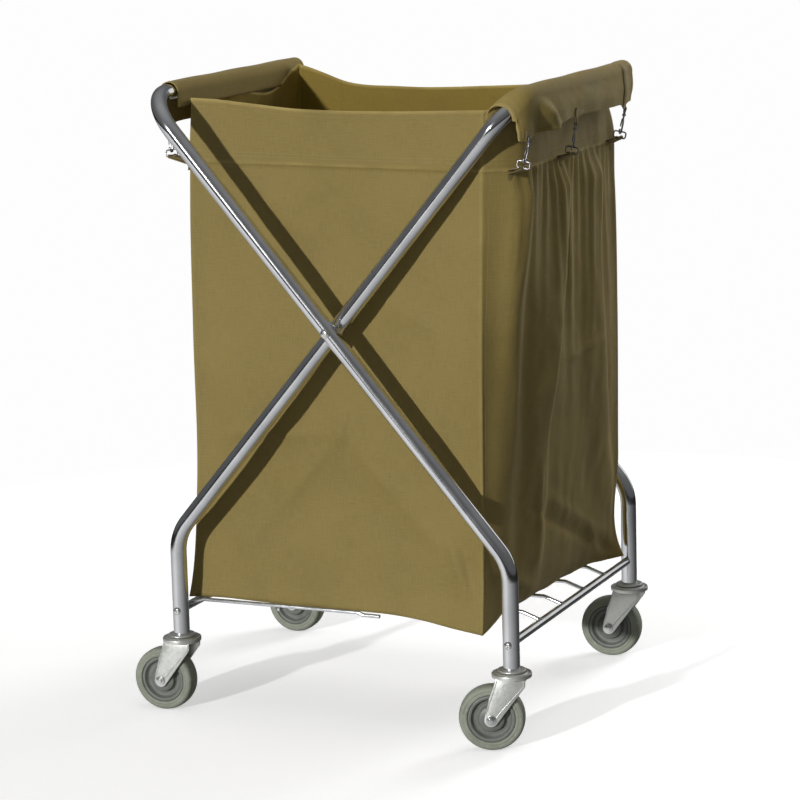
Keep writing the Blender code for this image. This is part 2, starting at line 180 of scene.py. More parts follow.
def soften(profile, radius, closed=False):
    """A lathe profile with its corners rounded off by short arcs."""
    flat = [Vector((r, 0, z)) for r, z in profile]
    if closed:
        flat = [(flat[0] + flat[-1]) / 2, *flat, (flat[0] + flat[-1]) / 2]
    radii = []
    for before, corner, after in zip(flat, flat[1:], flat[2:]):
        turn = (corner - before).angle(after - corner)
        room = 0.45 * min((corner - before).length, (after - corner).length)
        radii.append(min(radius, room / max(math.tan(turn / 2), 1e-3)))
    points = [(p.x, p.z) for p in rounded_path(flat, radii, 6)]
    return points[:-1] if closed else points


def slab(bm, outline, near, far, matrix, edge=0.0006):
    """A flat outline in the matrix's XZ plane, between two heights along its Y, with eased edges."""
    part = bmesh.new()
    face = part.faces.new([part.verts.new((x, near, z)) for x, z in outline])
    made = bmesh.ops.extrude_face_region(part, geom=[face])
    moved = [v for v in made["geom"] if isinstance(v, bmesh.types.BMVert)]
    bmesh.ops.translate(part, verts=moved, vec=(0, far - near, 0))
    bmesh.ops.recalc_face_normals(part, faces=part.faces)
    if edge:
        bmesh.ops.bevel(part, geom=part.edges[:], offset=edge, segments=2, profile=0.5, affect="EDGES")
    bmesh.ops.transform(part, matrix=matrix, verts=part.verts)
    copied = {v: bm.verts.new(v.co) for v in part.verts}
    for f in part.faces:
        bm.faces.new([copied[v] for v in f.verts])
    part.free()


def piece(name, bm, look, body, stands_for=(), sharp=38):
    """A finished rigid piece from bm, in the row frame, riding on its body."""
    bmesh.ops.recalc_face_normals(bm, faces=bm.faces)
    mesh = mesh_of(name, bm)
    mesh.shade_smooth()
    mesh.set_sharp_from_angle(angle=math.radians(sharp))
    mesh.materials.append(look)
    ob = shown(name, mesh)
    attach(ob, body)
    if stands_for:
        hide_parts(*stands_for)
    return ob


def part(name, bm, look, slot, node, sharp=38):
    """A piece that stands for one CAD node and rides on that node's body."""
    return piece(name, bm, look, BODY_OF[node], [node], sharp)


def turned(name, profile, rounding, matrix, steps, look, slot, node, closed=True):
    """A lathed piece that stands for one CAD node."""
    bm = bmesh.new()
    lathe(bm, soften(profile, rounding, closed), matrix, steps, closed)
    return part(name, bm, look, slot, node)


# ---- materials -----------------------------------------------------------------------------
class Look:
    """A node material built step by step."""

    def __init__(self, name, metallic=0.0, **sockets):
        self.material = bpy.data.materials.new(name)
        self.material.use_nodes = True
        self.tree = self.material.node_tree
        self.shader = self.tree.nodes["Principled BSDF"]
        self.shader.inputs["Metallic"].default_value = metallic
        for socket, value in sockets.items():
            self.shader.inputs[socket.replace("_", " ")].default_value = value
        self.object_space = self.node("ShaderNodeTexCoord").outputs["Object"]

    def node(self, kind, **settings):
        made = self.tree.nodes.new(kind)
        for key, value in settings.items():
            setattr(made, key, value)
        return made

    def link(self, source, target):
        self.tree.links.new(source, target)

    def math(self, operation, a, b=None, clamp=False):
        made = self.node("ShaderNodeMath", operation=operation, use_clamp=clamp)
        if operation == "MULTIPLY_ADD":
            made.inputs[2].default_value = b
        for socket, value in zip(made.inputs, (a, b)):
            if isinstance(value, (int, float)):
                socket.default_value = value
            elif value is not None:
                self.link(value, socket)
        return made.outputs[0]

    def noise(self, scale, detail=3.0, stretch=None, vector=None, roughness=0.55):
        made = self.node("ShaderNodeTexNoise")
        made.inputs["Scale"].default_value = scale
        made.inputs["Detail"].default_value = detail
        made.inputs["Roughness"].default_value = roughness
        source = vector or self.object_space
        if stretch:
            mapping = self.node("ShaderNodeMapping")
            mapping.inputs["Scale"].default_value = stretch
            self.link(source, mapping.inputs["Vector"])
            source = mapping.outputs[0]
        self.link(source, made.inputs["Vector"])
        return made.outputs["Fac"]

    def ramp(self, factor, *stops):
        """stops are (position, grey or colour)."""
        made = self.node("ShaderNodeValToRGB")
        elements = made.color_ramp.elements
        while len(elements) < len(stops):
            elements.new(0.5)
        for element, (position, value) in zip(elements, stops):
            element.position = position
            element.color = (*value, 1.0) if isinstance(value, tuple) else (value, value, value, 1.0)
        self.link(factor, made.inputs["Fac"])
        return made.outputs["Color"]

    def mix(self, factor, a, b, blend="MIX"):
        made = self.node("ShaderNodeMix", data_type="RGBA", blend_type=blend)
        for socket, value in ((made.inputs["Factor"], factor), (made.inputs[6], a), (made.inputs[7], b)):
            if isinstance(value, (int, float)):
                socket.default_value = value
            elif isinstance(value, tuple):
                socket.default_value = (*value, 1.0)
            else:
                self.link(value, socket)
        return made.outputs[2]

    def attribute(self, name):
        return self.node("ShaderNodeAttribute", attribute_name=name)

    def colour(self, output):
        self.link(output, self.shader.inputs["Base Color"])

    def roughness(self, output):
        self.link(output, self.shader.inputs["Roughness"])

    def bump(self, height, strength, distance):
        made = self.node("ShaderNodeBump")
        made.inputs["Strength"].default_value = strength
        made.inputs["Distance"].default_value = distance
        self.link(height, made.inputs["Height"])
        previous = self.shader.inputs["Normal"]
        if previous.is_linked:
            self.link(previous.links[0].from_socket, made.inputs["Normal"])
        self.link(made.outputs[0], previous)


def polished_metal(name, low, high, rough_low, rough_high, streak):
    """Plated metal: drawn streaks along one direction, smudges, and fine scratches."""
    look = Look(name, metallic=1.0)
    smudge = look.noise(18.0, 4.0)
    fine = look.noise(420.0, 2.0, stretch=streak)
    look.colour(look.mix(look.ramp(smudge, (0.35, 0.0), (0.7, 1.0)), low, high))
    rough = look.math("ADD", look.math("MULTIPLY", smudge, rough_high - rough_low), rough_low)
    look.roughness(look.math("ADD", rough, look.math("MULTIPLY", fine, 0.03)))
    look.bump(fine, 0.10, 0.0002)
    look.bump(look.noise(1500.0, 2.0), 0.05, 0.0001)
    return look.material


def zinc_plate(name):
    """Zinc plated pressed steel: pale blotches, faint crystal pattern and dulled patches."""
    look = Look(name, metallic=0.85)
    blotch = look.noise(55.0, 5.0)
    crystal = look.node("ShaderNodeTexVoronoi")
    crystal.inputs["Scale"].default_value = 260.0
    look.link(look.object_space, crystal.inputs["Vector"])
    blotches = look.math("MULTIPLY", blotch, 0.7)
    crystals = look.math("MULTIPLY", crystal.outputs["Color"], 0.3)
    tone = look.math("ADD", blotches, crystals)
    look.colour(look.ramp(tone, (0.20, (0.62, 0.63, 0.60)), (0.80, (0.80, 0.81, 0.77))))
    look.roughness(look.ramp(tone, (0.2, 0.30), (0.8, 0.50)))
    look.bump(look.noise(700.0, 3.0), 0.12, 0.0002)
    return look.material


def rubber(name):
    """Grey thermoplastic tyre: scuffed, dusty, with a faint mould grain."""
    look = Look(name)
    dust = look.noise(40.0, 5.0)
    scuff = look.noise(160.0, 3.0)
    base = look.mix(look.ramp(dust, (0.35, 0.0), (0.75, 1.0)), (0.230, 0.250, 0.195), (0.310, 0.330, 0.265))
    look.colour(look.mix(look.ramp(scuff, (0.60, 0.0), (0.72, 1.0)), base, (0.36, 0.37, 0.32)))
    look.roughness(look.ramp(dust, (0.3, 0.52), (0.8, 0.72)))
    look.bump(look.noise(900.0, 3.0), 0.25, 0.0003)
    return look.material


def moulded(name):
    """Grey moulded plastic of the wheel centre."""
    look = Look(name)
    blotch = look.noise(70.0, 4.0)
    look.colour(look.ramp(blotch, (0.3, (0.135, 0.145, 0.130)), (0.8, (0.205, 0.215, 0.190))))
    look.roughness(look.ramp(blotch, (0.3, 0.38), (0.8, 0.55)))
    look.bump(look.noise(1200.0, 2.0), 0.18, 0.0002)
    return look.material


THREAD = 0.0009            # pitch of the canvas weave


def canvas(name, dark, light, pitch=THREAD, weave=0.5, inside_shade_tint=None):
    """Plain-woven cotton canvas. The point attribute cloth holds each point's place on the flat cloth
    in metres, and the attribute wear is 1 where edges and seams have rubbed pale."""
    look = Look(name, Sheen_Weight=0.08, Sheen_Roughness=0.4, Specular_IOR_Level=0.30)
    place = look.attribute("cloth").outputs["Vector"]
    parts = look.node("ShaderNodeSeparateXYZ")
    look.link(place, parts.inputs[0])
    turns = 2 * math.pi / pitch
    across = look.math("SINE", look.math("MULTIPLY", parts.outputs[0], turns))
    along = look.math("SINE", look.math("MULTIPLY", parts.outputs[1], turns))
    knots = look.math("MULTIPLY", across, along)
    slub = look.noise(900.0, 2.0, stretch=(0.05, 1.0, 1.0), vector=place)
    slub_up = look.noise(900.0, 2.0, stretch=(1.0, 0.05, 1.0), vector=place)
    mottle = look.noise(14.0, 4.0)
    fade = look.noise(3.2, 3.0)
    tone = look.math("ADD", look.math("MULTIPLY", mottle, 0.45), look.math("MULTIPLY", fade, 0.55))
    base = look.mix(look.ramp(tone, (0.32, 0.0), (0.68, 1.0)), dark, light)
    threads = look.math("MULTIPLY", look.math("ADD", slub, slub_up), 0.5)
    base = look.mix(look.ramp(threads, (0.35, 0.35), (0.65, 0.0)), base, (0.45, 0.42, 0.38), "MULTIPLY")
    # Faces turned towards the bag's middle get painted shade: a darker, yellower tint that stands in for the
    # shade and the light bounced around inside the bag.
    if inside_shade_tint:
        place = look.node("ShaderNodeTexCoord")
        level = look.node("ShaderNodeVectorMath", operation="MULTIPLY")
        level.inputs[1].default_value = (1.0, 1.0, 0.0)
        look.link(place.outputs["Object"], level.inputs[0])
        faces = look.node("ShaderNodeVectorMath", operation="DOT_PRODUCT")
        look.link(place.outputs["Normal"], faces.inputs[0])
        look.link(level.outputs[0], faces.inputs[1])
        inside = look.ramp(look.math("MULTIPLY_ADD", faces.outputs["Value"], 0.5), (0.475, 1.0), (0.495, 0.0))
        base = look.mix(inside, base, look.mix(1.0, base, inside_shade_tint, "MULTIPLY"))
    rubbed = look.ramp(mottle, (0.35, 0.3), (0.7, 1.0))
    worn = look.math("MULTIPLY", look.attribute("wear").outputs["Fac"], rubbed)
    look.colour(look.mix(worn, base, tuple(min(1.0, c * 1.45 + 0.02) for c in light)))
    look.roughness(look.ramp(mottle, (0.3, 0.58), (0.7, 0.70)))
    look.bump(knots, weave, 0.00012)
    look.bump(threads, 0.35, 0.00025)
    look.bump(mottle, 0.25, 0.0015)
    return look.material


CHROME = polished_metal("chrome_plate", (0.66, 0.67, 0.69), (0.80, 0.81, 0.83), 0.07, 0.16, (1.0, 1.0, 0.05))
WIRE = polished_metal("rack_plate", (0.55, 0.56, 0.57), (0.74, 0.75, 0.76), 0.12, 0.26, (0.05, 1.0, 1.0))
BRIGHT = polished_metal("bright_plate", (0.60, 0.60, 0.60), (0.78, 0.78, 0.77), 0.16, 0.30, (1.0, 1.0, 1.0))
NICKEL = polished_metal("dull_nickel", (0.24, 0.24, 0.25), (0.38, 0.38, 0.39), 0.22, 0.38, (1.0, 1.0, 1.0))
ZINC = zinc_plate("zinc_plate")
RUBBER = rubber("grey_rubber")
PLASTIC = moulded("grey_plastic")
CANVAS = canvas("olive_canvas", (0.250, 0.187, 0.054), (0.306, 0.232, 0.072))
# the bag canvas: its inside faces get a darker, yellower painted shade tint
BAG_CANVAS = canvas("coated_canvas", (0.250, 0.187, 0.054), (0.306, 0.232, 0.072), inside_shade_tint=(0.80, 0.74, 0.30))
WEBBING = canvas("olive_webbing", (0.205, 0.156, 0.060), (0.265, 0.205, 0.080), pitch=0.0016, weave=0.9)
STITCH = canvas("olive_thread", (0.330, 0.270, 0.120), (0.400, 0.330, 0.160), pitch=0.0006)


# ---- tube frames ---------------------------------------------------------------------------
def tube_frame(name, leg_side, half_depth):
    leg_x, top_x = LEG_X * leg_side, -TOP_X * leg_side
    corners = [
        (leg_x, -half_depth, LEG_END_Z), (leg_x, -half_depth, KNEE_Z), (top_x, -half_depth, TOP_Z),
        (top_x, half_depth, TOP_Z), (leg_x, half_depth, KNEE_Z), (leg_x, half_depth, LEG_END_Z),
    ]
    path = [p + MIDDLE for p in rounded_path(corners, (KNEE_R, CORNER_R, CORNER_R, KNEE_R), 20)]
    bm = bmesh.new()
    sweep(bm, path, TUBE_R, 40)
    part(f"{name}_tube", bm, CHROME, "chrome_tube", name)


tube_frame("frame_outer", 1, OUTER_Y)
tube_frame("frame_inner", -1, INNER_Y)


# ---- bolts and screws ----------------------------------------------------------------------
def along_y(x, y, z, side):
    """Local +Z points outwards, away from the middle of the trolley."""
    return Matrix.Translation((x, y, z)) @ Matrix.Rotation(math.radians(90 if side < 0 else -90), 4, "X")


def cross_recess(radius, depth, height):
    """A cross-shaped cutter that reaches down from height by depth."""
    bm = bmesh.new()
    for turn in (0, 90):
        size = Matrix.Diagonal((2 * radius, radius * 0.36, 2 * depth, 1))
        bmesh.ops.create_cube(bm, size=1.0, matrix=Matrix.Translation((0, 0, height))
                              @ Matrix.Rotation(math.radians(turn), 4, "Z") @ size)
    return shown("recess", mesh_of("recess", bm))


def screw_head_mesh(name, profile, recess_r, top):
    """A turned screw or bolt about Z, with a cross recess cut in its domed head."""
    bm = bmesh.new()
    lathe(bm, soften(profile, 0.0006), Matrix.Identity(4), 36)
    bmesh.ops.recalc_face_normals(bm, faces=bm.faces)
    ob = shown(name, mesh_of(name, bm))
    cutter = cross_recess(recess_r, 0.0016, top)
    cut = ob.modifiers.new("recess", "BOOLEAN")
    cut.operation = "DIFFERENCE"
    cut.solver = "EXACT"
    cut.use_self = True
    cut.object = cutter
    made = bpy.data.meshes.new_from_object(ob.evaluated_get(bpy.context.evaluated_depsgraph_get()))
    bpy.data.objects.remove(ob)
    bpy.data.objects.remove(cutter)
    return made


def placed(mesh, matrix):
    bm = bmesh.new()
    bm.from_mesh(mesh)
    bmesh.ops.transform(bm, matrix=matrix, verts=bm.verts)
    return bm


BOLT_HEAD = OUTER_Y + TUBE_R + GAP
NUT_FACE = INNER_Y - TUBE_R - GAP
BOLT_END = NUT_FACE - 0.0026
bolt_mesh = screw_head_mesh("bolt", [
    (0, BOLT_HEAD + 0.0042), (0.0040, BOLT_HEAD + 0.0038), (0.0068, BOLT_HEAD + 0.0022), (0.0076, BOLT_HEAD),
    (0.0040, BOLT_HEAD), (0.0040, BOLT_END), (0, BOLT_END),
], 0.0030, BOLT_HEAD + 0.0042)
WASHER_IN = INNER_Y + TUBE_R + GAP
WASHER_OUT = OUTER_Y - TUBE_R - GAP
WASHER = [(0.0085, WASHER_OUT), (0.0085, WASHER_IN), (0.0043, WASHER_IN), (0.0043, WASHER_OUT)]
NUT = [(0.0070, NUT_FACE), (0.0074, NUT_FACE - 0.0022), (0.0062, NUT_FACE - 0.0029),
       (0.0043, NUT_FACE - 0.0029), (0.0043, NUT_FACE)]
for where, side in (("front", -1), ("rear", 1)):
    at = along_y(MIDDLE.x, MIDDLE.y, PIVOT.z, side)
    part(f"pivot_screw_{where}", placed(bolt_mesh, at), BRIGHT, "bright_screw", f"pivot_bolt_{where}")
    turned(f"pivot_spacer_{where}", WASHER, 0.0004, at, 40, ZINC, "zinc", f"pivot_washer_{where}")
    turned(f"pivot_lock_nut_{where}", NUT, 0.0004, at, 6, BRIGHT, "bright_screw", f"pivot_nut_{where}")

for corner, (side_x, y) in CORNERS.items():
    side = -1 if y < 0 else 1
    head = abs(y) + TUBE_R + GAP
    screw_mesh = screw_head_mesh("screw", [
        (0, head + 0.0034), (0.0036, head + 0.0030), (0.0058, head + 0.0016), (0.0062, head),
        (0.0030, head), (0.0030, abs(y) - 0.033), (0, abs(y) - 0.033),
    ], 0.0026, head + 0.0034)
    at = along_y(MIDDLE.x + LEG_X * side_x, MIDDLE.y, RACK_Z, side)
    part(f"rack_fixing_{corner}", placed(screw_mesh, at), BRIGHT, "bright_screw", f"rack_screw_{corner}")


# ---- wire rack -----------------------------------------------------------------------------
LEFT_ROD_Z = 0.1770
RIGHT_ROD_Z = 0.1780


WELD = Matrix.Diagonal((0.0042, 0.0040, 0.0018, 1))


def rack_half(name, side, half_depth, rods_y, rod_z, tip, tie_z, tie_half):
    """A cross bar with rods welded on its top and one cross wire."""
    bar_x = LEG_X * side
    bar_end = half_depth - TUBE_R - 0.0005
    bm = bmesh.new()
    sweep(bm, [MIDDLE + Vector((bar_x, y, RACK_Z)) for y in (-bar_end, bar_end)], RACK_BAR_R, 32)
    tie_x = 0.120 * side
    sweep(bm, [MIDDLE + Vector((tie_x, y, tie_z)) for y in (-tie_half, tie_half)], TIE_R, 20)
    for y in [y * s for y in rods_y for s in (-1, 1)]:
        corners = [(bar_x, y, RACK_Z + 0.0045), (bar_x - 0.030 * side, y, rod_z)]
        corners += [(x, y, z) for x, z in tip]
        path = rounded_path(corners, [0.012] * (len(corners) - 2), 12)
        sweep(bm, [p + MIDDLE for p in path], ROD_R, 20)
        for x, z in ((bar_x, RACK_Z + RACK_BAR_R), (tie_x, (rod_z + tie_z) / 2)):
            bead = Matrix.Translation(MIDDLE + Vector((x, y, z))) @ WELD
            bmesh.ops.create_uvsphere(bm, u_segments=16, v_segments=8, radius=1.0, matrix=bead)
    part(f"{name}_wires", bm, WIRE, "rack_wire", name)


rack_half("rack_left", -1, INNER_Y, (0.2225, 0.120, 0.024), LEFT_ROD_Z,
          [(0.014, LEFT_ROD_Z), (0.022, 0.1735), (0.050, 0.1735)], LEFT_ROD_Z - 0.0050, 0.2275)
rack_half("rack_right", 1, OUTER_Y, (0.145, 0.048), RIGHT_ROD_Z,
          [(-0.060, RIGHT_ROD_Z)], RIGHT_ROD_Z + 0.0050, 0.150)


# ---- casters -------------------------------------------------------------------------------
ARM_IN = 0.0185
ARM_OUT = 0.0210


def fork_arm_outline():
    """Side outline of a fork arm: x towards the wheel, z up."""
    outline = [(-0.0215, 0.1150), (-0.0212, 0.1020)]
    boss = 0.0105
    for k in range(15):
        a = math.radians(207 + (371 - 207) * k / 14)
        outline.append((TRAIL + boss * math.cos(a), WHEEL_R + boss * math.sin(a)))
    return outline + [(0.0330, 0.0840), (0.0265, 0.1010), (0.0225, 0.1150)]


def mirrored_profile(half):
    return half + [(r, -z) for r, z in reversed(half)]


STEM = [(0, 0.1520), (0.0095, 0.1520), (0.0108, 0.1500), (0.0108, 0.1246), (0.0205, 0.1244), (0.0215, 0.1232),
        (0.0215, 0.1212), (0.0050, 0.1210), (0.0050, 0.1120), (0.0090, 0.1120), (0.0080, 0.1090), (0, 0.1090)]
RACE = [(0.0060, 0.1200), (0.0235, 0.1202), (0.0250, 0.1188), (0.0272, 0.1190), (0.0295, 0.1196),
        (0.0304, 0.1180), (0.0302, 0.1132), (0.0288, 0.1124), (0.0262, 0.1126), (0.0250, 0.1140),
        (0.0230, 0.1128), (0.0060, 0.1128)]
# pressed ribs down a fork arm's edges: radius, then (x, z) points
RIBS = ((0.0012, ((0.0205, 0.1120), (0.0248, 0.1000), (0.0305, 0.0835), (0.0385, 0.0590))),
        (0.0010, ((-0.0190, 0.1120), (-0.0186, 0.1020), (0.0150, 0.0640), (0.0225, 0.0545))))
AXLE = mirrored_profile([(0, 0.0255), (0.0036, 0.0255), (0.0040, 0.0238), (0.0072, 0.0236),
                         (0.0074, ARM_OUT + GAP), (0.0050, ARM_OUT + GAP)])
HUB = mirrored_profile([(0.0360, 0.0130), (0.0340, 0.0136), (0.0312, 0.0134), (0.0296, 0.0092),
                        (0.0276, 0.0070), (0.0222, 0.0068), (0.0204, 0.0086), (0.0190, 0.0138),
                        (0.0150, 0.0152), (0.0112, 0.0156), (0.0105, 0.0178), (0.0053, 0.0178)])
TYRE = mirrored_profile([(0.0363, 0.0134), (0.0372, 0.0146), (0.0400, 0.0149), (0.0412, 0.0143),
                         (0.0440, 0.0146), (0.0470, 0.0136), (0.0488, 0.0112), (0.0497, 0.0070),
                         (0.0500, 0.0020)])


def caster(corner):
    side_x, y = CORNERS[corner]
    stem_at = MIDDLE + Vector((LEG_X * side_x, y, 0))
    wheel_at = middle_of(f"caster_tyre_{corner}")
    along = Vector((wheel_at.x - stem_at.x, wheel_at.y - stem_at.y, 0)).normalized()
    across = Vector((-along.y, along.x, 0))
    fork_at = Matrix((along, across, (0, 0, 1))).transposed().to_4x4()
    fork_at.translation = stem_at
    wheel = Matrix((along, (0, 0, -1), across)).transposed().to_4x4()
    wheel.translation = stem_at + along * TRAIL + Vector((0, 0, WHEEL_R))

    turned(f"stem_{corner}", STEM, 0.0009, Matrix.Translation(stem_at), 56, ZINC, "zinc",
           f"caster_stem_{corner}", closed=False)
    bm = bmesh.new()
    lathe(bm, soften(RACE, 0.0010, True), fork_at, 64, closed=True)
    outline = fork_arm_outline()
    for side in (-1, 1):
        near, far = sorted((ARM_IN * side, ARM_OUT * side))
        slab(bm, outline, near, far, fork_at, 0.0007)
        for radius, line in RIBS:
            rib = [Vector((x, (ARM_OUT - 0.0004) * side, z)) for x, z in line]
            sweep(bm, [fork_at @ p for p in rib], radius, 10)
    part(f"fork_{corner}_pressing", bm, ZINC, "zinc", f"caster_fork_{corner}", sharp=50)
    turned(f"axle_bolt_{corner}", AXLE, 0.0005, wheel, 36, BRIGHT, "bright_screw",
           f"caster_axle_{corner}", closed=False)
    turned(f"hub_{corner}", HUB, 0.0012, wheel, 72, PLASTIC, "hub_plastic", f"caster_hub_{corner}")
    turned(f"tyre_{corner}", TYRE, 0.0014, wheel, 88, RUBBER, "tyre_rubber", f"caster_tyre_{corner}")


for corner in CORNERS:
    caster(corner)


# ---- canvas bag ----------------------------------------------------------------------------
BAG_Y = 0.2220
CLOTH = 0.0016
SEAM_Z = 0.8600            # lower edge of the top hem band


def through(places, values, at):
    """Smooth curve through values at places, read at each point of at. values may hold a column each."""
    places = np.asarray(places, float)
    values = np.asarray(values, float)
    at = np.clip(np.asarray(at, float), places[0], places[-1])
    slopes = np.gradient(values, places, axis=0)
    k = np.clip(np.searchsorted(places, at) - 1, 0, len(places) - 2)
    span = places[k + 1] - places[k]
    t = (at - places[k]) / span
    if values.ndim == 2:
        column = np.broadcast_to(np.arange(values.shape[1]), at.shape)
        v0, v1, m0, m1 = values[k, column], values[k + 1, column], slopes[k, column], slopes[k + 1, column]
    else:
        v0, v1, m0, m1 = values[k], values[k + 1], slopes[k], slopes[k + 1]
    return ((2 * t**3 - 3 * t**2 + 1) * v0 + (t**3 - 2 * t**2 + t) * span * m0
            + (3 * t**2 - 2 * t**3) * v1 + (t**3 - t**2) * span * m1)


def ease(t):
    t = np.clip(t, 0.0, 1.0)
    return t * t * (3 - 2 * t)


def ridge(offset, rise, fall):
    """1 on a crest, easing to 0 at rise before it and at fall after it."""
    return np.where(offset < 0, ease(1 + offset / rise), ease(1 - offset / fall))


def pinch(u, v, start, end, width):
    """A sharp crease along a segment: 1 on the line, dying off within width."""
    du, dv = end[0] - start[0], end[1] - start[1]
    t = np.clip(((u - start[0]) * du + (v - start[1]) * dv) / (du * du + dv * dv), 0, 1)
    away = np.hypot(u - start[0] - t * du, v - start[1] - t * dv)
    return np.exp(-away / width) * (0.35 + 0.65 * np.sin(math.pi * (0.08 + 0.84 * t)))


def cloth_noise(x, y, z, stretch):
    """Smooth noise over arrays of points, about -1 to 1."""
    scale = Vector(stretch)
    flat = [noise.noise(Vector((a * scale.x, b * scale.y, c * scale.z)))
            for a, b, c in zip(x.ravel(), y.ravel(), z.ravel())]
    return np.array(flat).reshape(x.shape)


SIDE_Y = (-BAG_Y, -0.205, -0.185, -0.150, -0.080, 0.020, 0.120, 0.190, BAG_Y)
LEVEL_Z = (0.150, 0.200, 0.350, 0.600, 0.800, 0.900, 0.950)
RIGHT_X = (
    (0.2185, 0.2195, 0.2210, 0.2240, 0.2270, 0.2300, 0.2380, 0.2700, 0.3070),
    (0.2205, 0.2225, 0.2255, 0.2310, 0.2400, 0.2480, 0.2560, 0.2690, 0.2830),
    (0.2230, 0.2285, 0.2340, 0.2420, 0.2560, 0.2690, 0.2770, 0.2805, 0.2830),
    (0.2265, 0.2375, 0.2500, 0.2650, 0.2775, 0.2820, 0.2840, 0.2850, 0.2850),
    (0.2310, 0.2560, 0.2770, 0.2820, 0.2820, 0.2820, 0.2820, 0.2825, 0.2830),
    (0.2340, 0.2640, 0.2820, 0.2840, 0.2820, 0.2820, 0.2820, 0.2810, 0.2775),
    (0.2365, 0.2600, 0.2750, 0.2785, 0.2785, 0.2785, 0.2785, 0.2730, 0.2590),
)
LEFT_X = (
    (0.2900, 0.2800, 0.2700, 0.2640, 0.2620, 0.2620, 0.2620, 0.2620, 0.2620),
    (0.2800, 0.2760, 0.2720, 0.2680, 0.2660, 0.2660, 0.2660, 0.2640, 0.2620),
    (0.2745, 0.2755, 0.2765, 0.2770, 0.2760, 0.2760, 0.2740, 0.2700, 0.2670),
    (0.2735, 0.2755, 0.2780, 0.2800, 0.2790, 0.2790, 0.2770, 0.2730, 0.2700),
    (0.2715, 0.2740, 0.2770, 0.2790, 0.2800, 0.2810, 0.2800, 0.2750, 0.2700),
    (0.2670, 0.2710, 0.2760, 0.2790, 0.2800, 0.2810, 0.2800, 0.2750, 0.2680),
    (0.2630, 0.2680, 0.2745, 0.2780, 0.2785, 0.2785, 0.2785, 0.2740, 0.2660),
)
# the front left corner at the same levels
CORNER_Y = (-0.211, -0.207, -0.186, -0.180, -0.176, -0.174, -0.173)
# height of the top edge and of the bottom edge along each panel, corner to corner anticlockwise
TOP_EDGE = {
    "front": ((0, 0.10, 0.22, 0.35, 0.50, 0.80, 1), (0.9590, 0.9565, 0.9515, 0.9460, 0.9445, 0.9470, 0.9510)),
    "right": ((0, 0.10, 0.50, 0.88, 1), (0.9510, 0.9500, 0.9500, 0.9500, 0.9550)),
    "back": ((0, 0.15, 0.35, 0.66, 0.85, 0.93, 1), (0.9550, 0.9500, 0.9450, 0.9425, 0.9510, 0.9660, 0.9780)),
    "left": ((0, 0.05, 0.12, 0.50, 0.88, 0.95, 1), (0.9780, 0.9660, 0.9500, 0.9500, 0.9500, 0.9540, 0.9590)),
}
BOTTOM_EDGE = {
    "front": ((0, 0.05, 0.30, 0.60, 0.70, 0.80, 0.91, 1),
              (0.1755, 0.1775, 0.1772, 0.1772, 0.1765, 0.1720, 0.1630, 0.1570)),
    "right": ((0, 0.06, 0.12, 0.173, 0.28, 0.39, 0.50, 0.61, 0.72, 0.83, 0.92, 1),
              (0.1570, 0.1625, 0.1720, 0.1820, 0.1785, 0.1820,
               0.1790, 0.1820, 0.1790, 0.1820, 0.1800, 0.1815)),
    "back": ((0, 0.12, 0.30, 0.42, 0.70, 1), (0.1815, 0.1770, 0.1780, 0.1814, 0.1814, 0.1814)),
    "left": ((0, 0.25, 0.50, 0.75, 0.95, 1), (0.1814, 0.1805, 0.1800, 0.1800, 0.1795, 0.1765)),
}
PANELS = ("front", "right", "back", "left")
FRONT_CELLS = 76
SIDE_CELLS = 76
LOW_ROWS = 100
HIGH_ROWS = 16
BACK_SEAM = 0.145          # share of the front and back panels where the back's upright seam lies


def stations(cells, extra=()):
    """Shares along a panel, closer together at the corner seams and at any other upright seam."""
    plain = np.linspace(0, 1, cells + 1)
    close = [0.004, 0.009, 0.016]
    marks = [*close, *(1 - c for c in close)]
    for place in extra:
        marks += [place - 0.004, place, place + 0.004]
    kept = [s for s in plain if all(abs(s - m) > 0.003 for m in marks)]
    return np.array(sorted(kept + marks))


FRONT_S = stations(FRONT_CELLS, (BACK_SEAM, 1 - BACK_SEAM))
SIDE_S = stations(SIDE_CELLS)
SHARES = {"front": FRONT_S, "right": SIDE_S, "back": FRONT_S, "left": SIDE_S}


def corner_x(table, z, rear):
    return through(LEVEL_Z, [row[-1 if rear else 0] for row in table], z)


def panel_plan(panel, s, z):
    """x, y and the outward direction of a panel at shares s and heights z."""
    if panel in ("front", "back"):
        rear = panel == "back"
        left = -corner_x(LEFT_X, z, rear)
        right = corner_x(RIGHT_X, z, rear)
        share = 1 - s if rear else s
        x = left + (right - left) * share
        pull = 0.010 * ease((z - 0.915) / 0.03) if rear else 0.0
        if rear:
            y = BAG_Y - pull * ease((share - 0.80) / 0.2) + np.zeros_like(x)
        else:
            y = -BAG_Y * share + through(LEVEL_Z, CORNER_Y, z) * (1 - share)
        return x, y, np.zeros_like(x), np.full_like(x, 1.0 if rear else -1.0)
    side = 1 if panel == "right" else -1
    y_row = (2 * s[0] - 1) * BAG_Y * side
    table = RIGHT_X if side > 0 else LEFT_X
    at_y = np.array([through(SIDE_Y, row, y_row) for row in table])
    x = through(LEVEL_Z, at_y, z) * side
    y = np.broadcast_to(y_row, x.shape).copy()
    if side < 0:
        y = BAG_Y + (through(LEVEL_Z, CORNER_Y, z) - BAG_Y) * (BAG_Y - y) / (2 * BAG_Y)
    if side > 0:
        y -= 0.010 * ease((z - 0.915) / 0.03) * ease((y - 0.170) / 0.052)
    return x, y, np.full_like(x, float(side)), np.zeros_like(x)


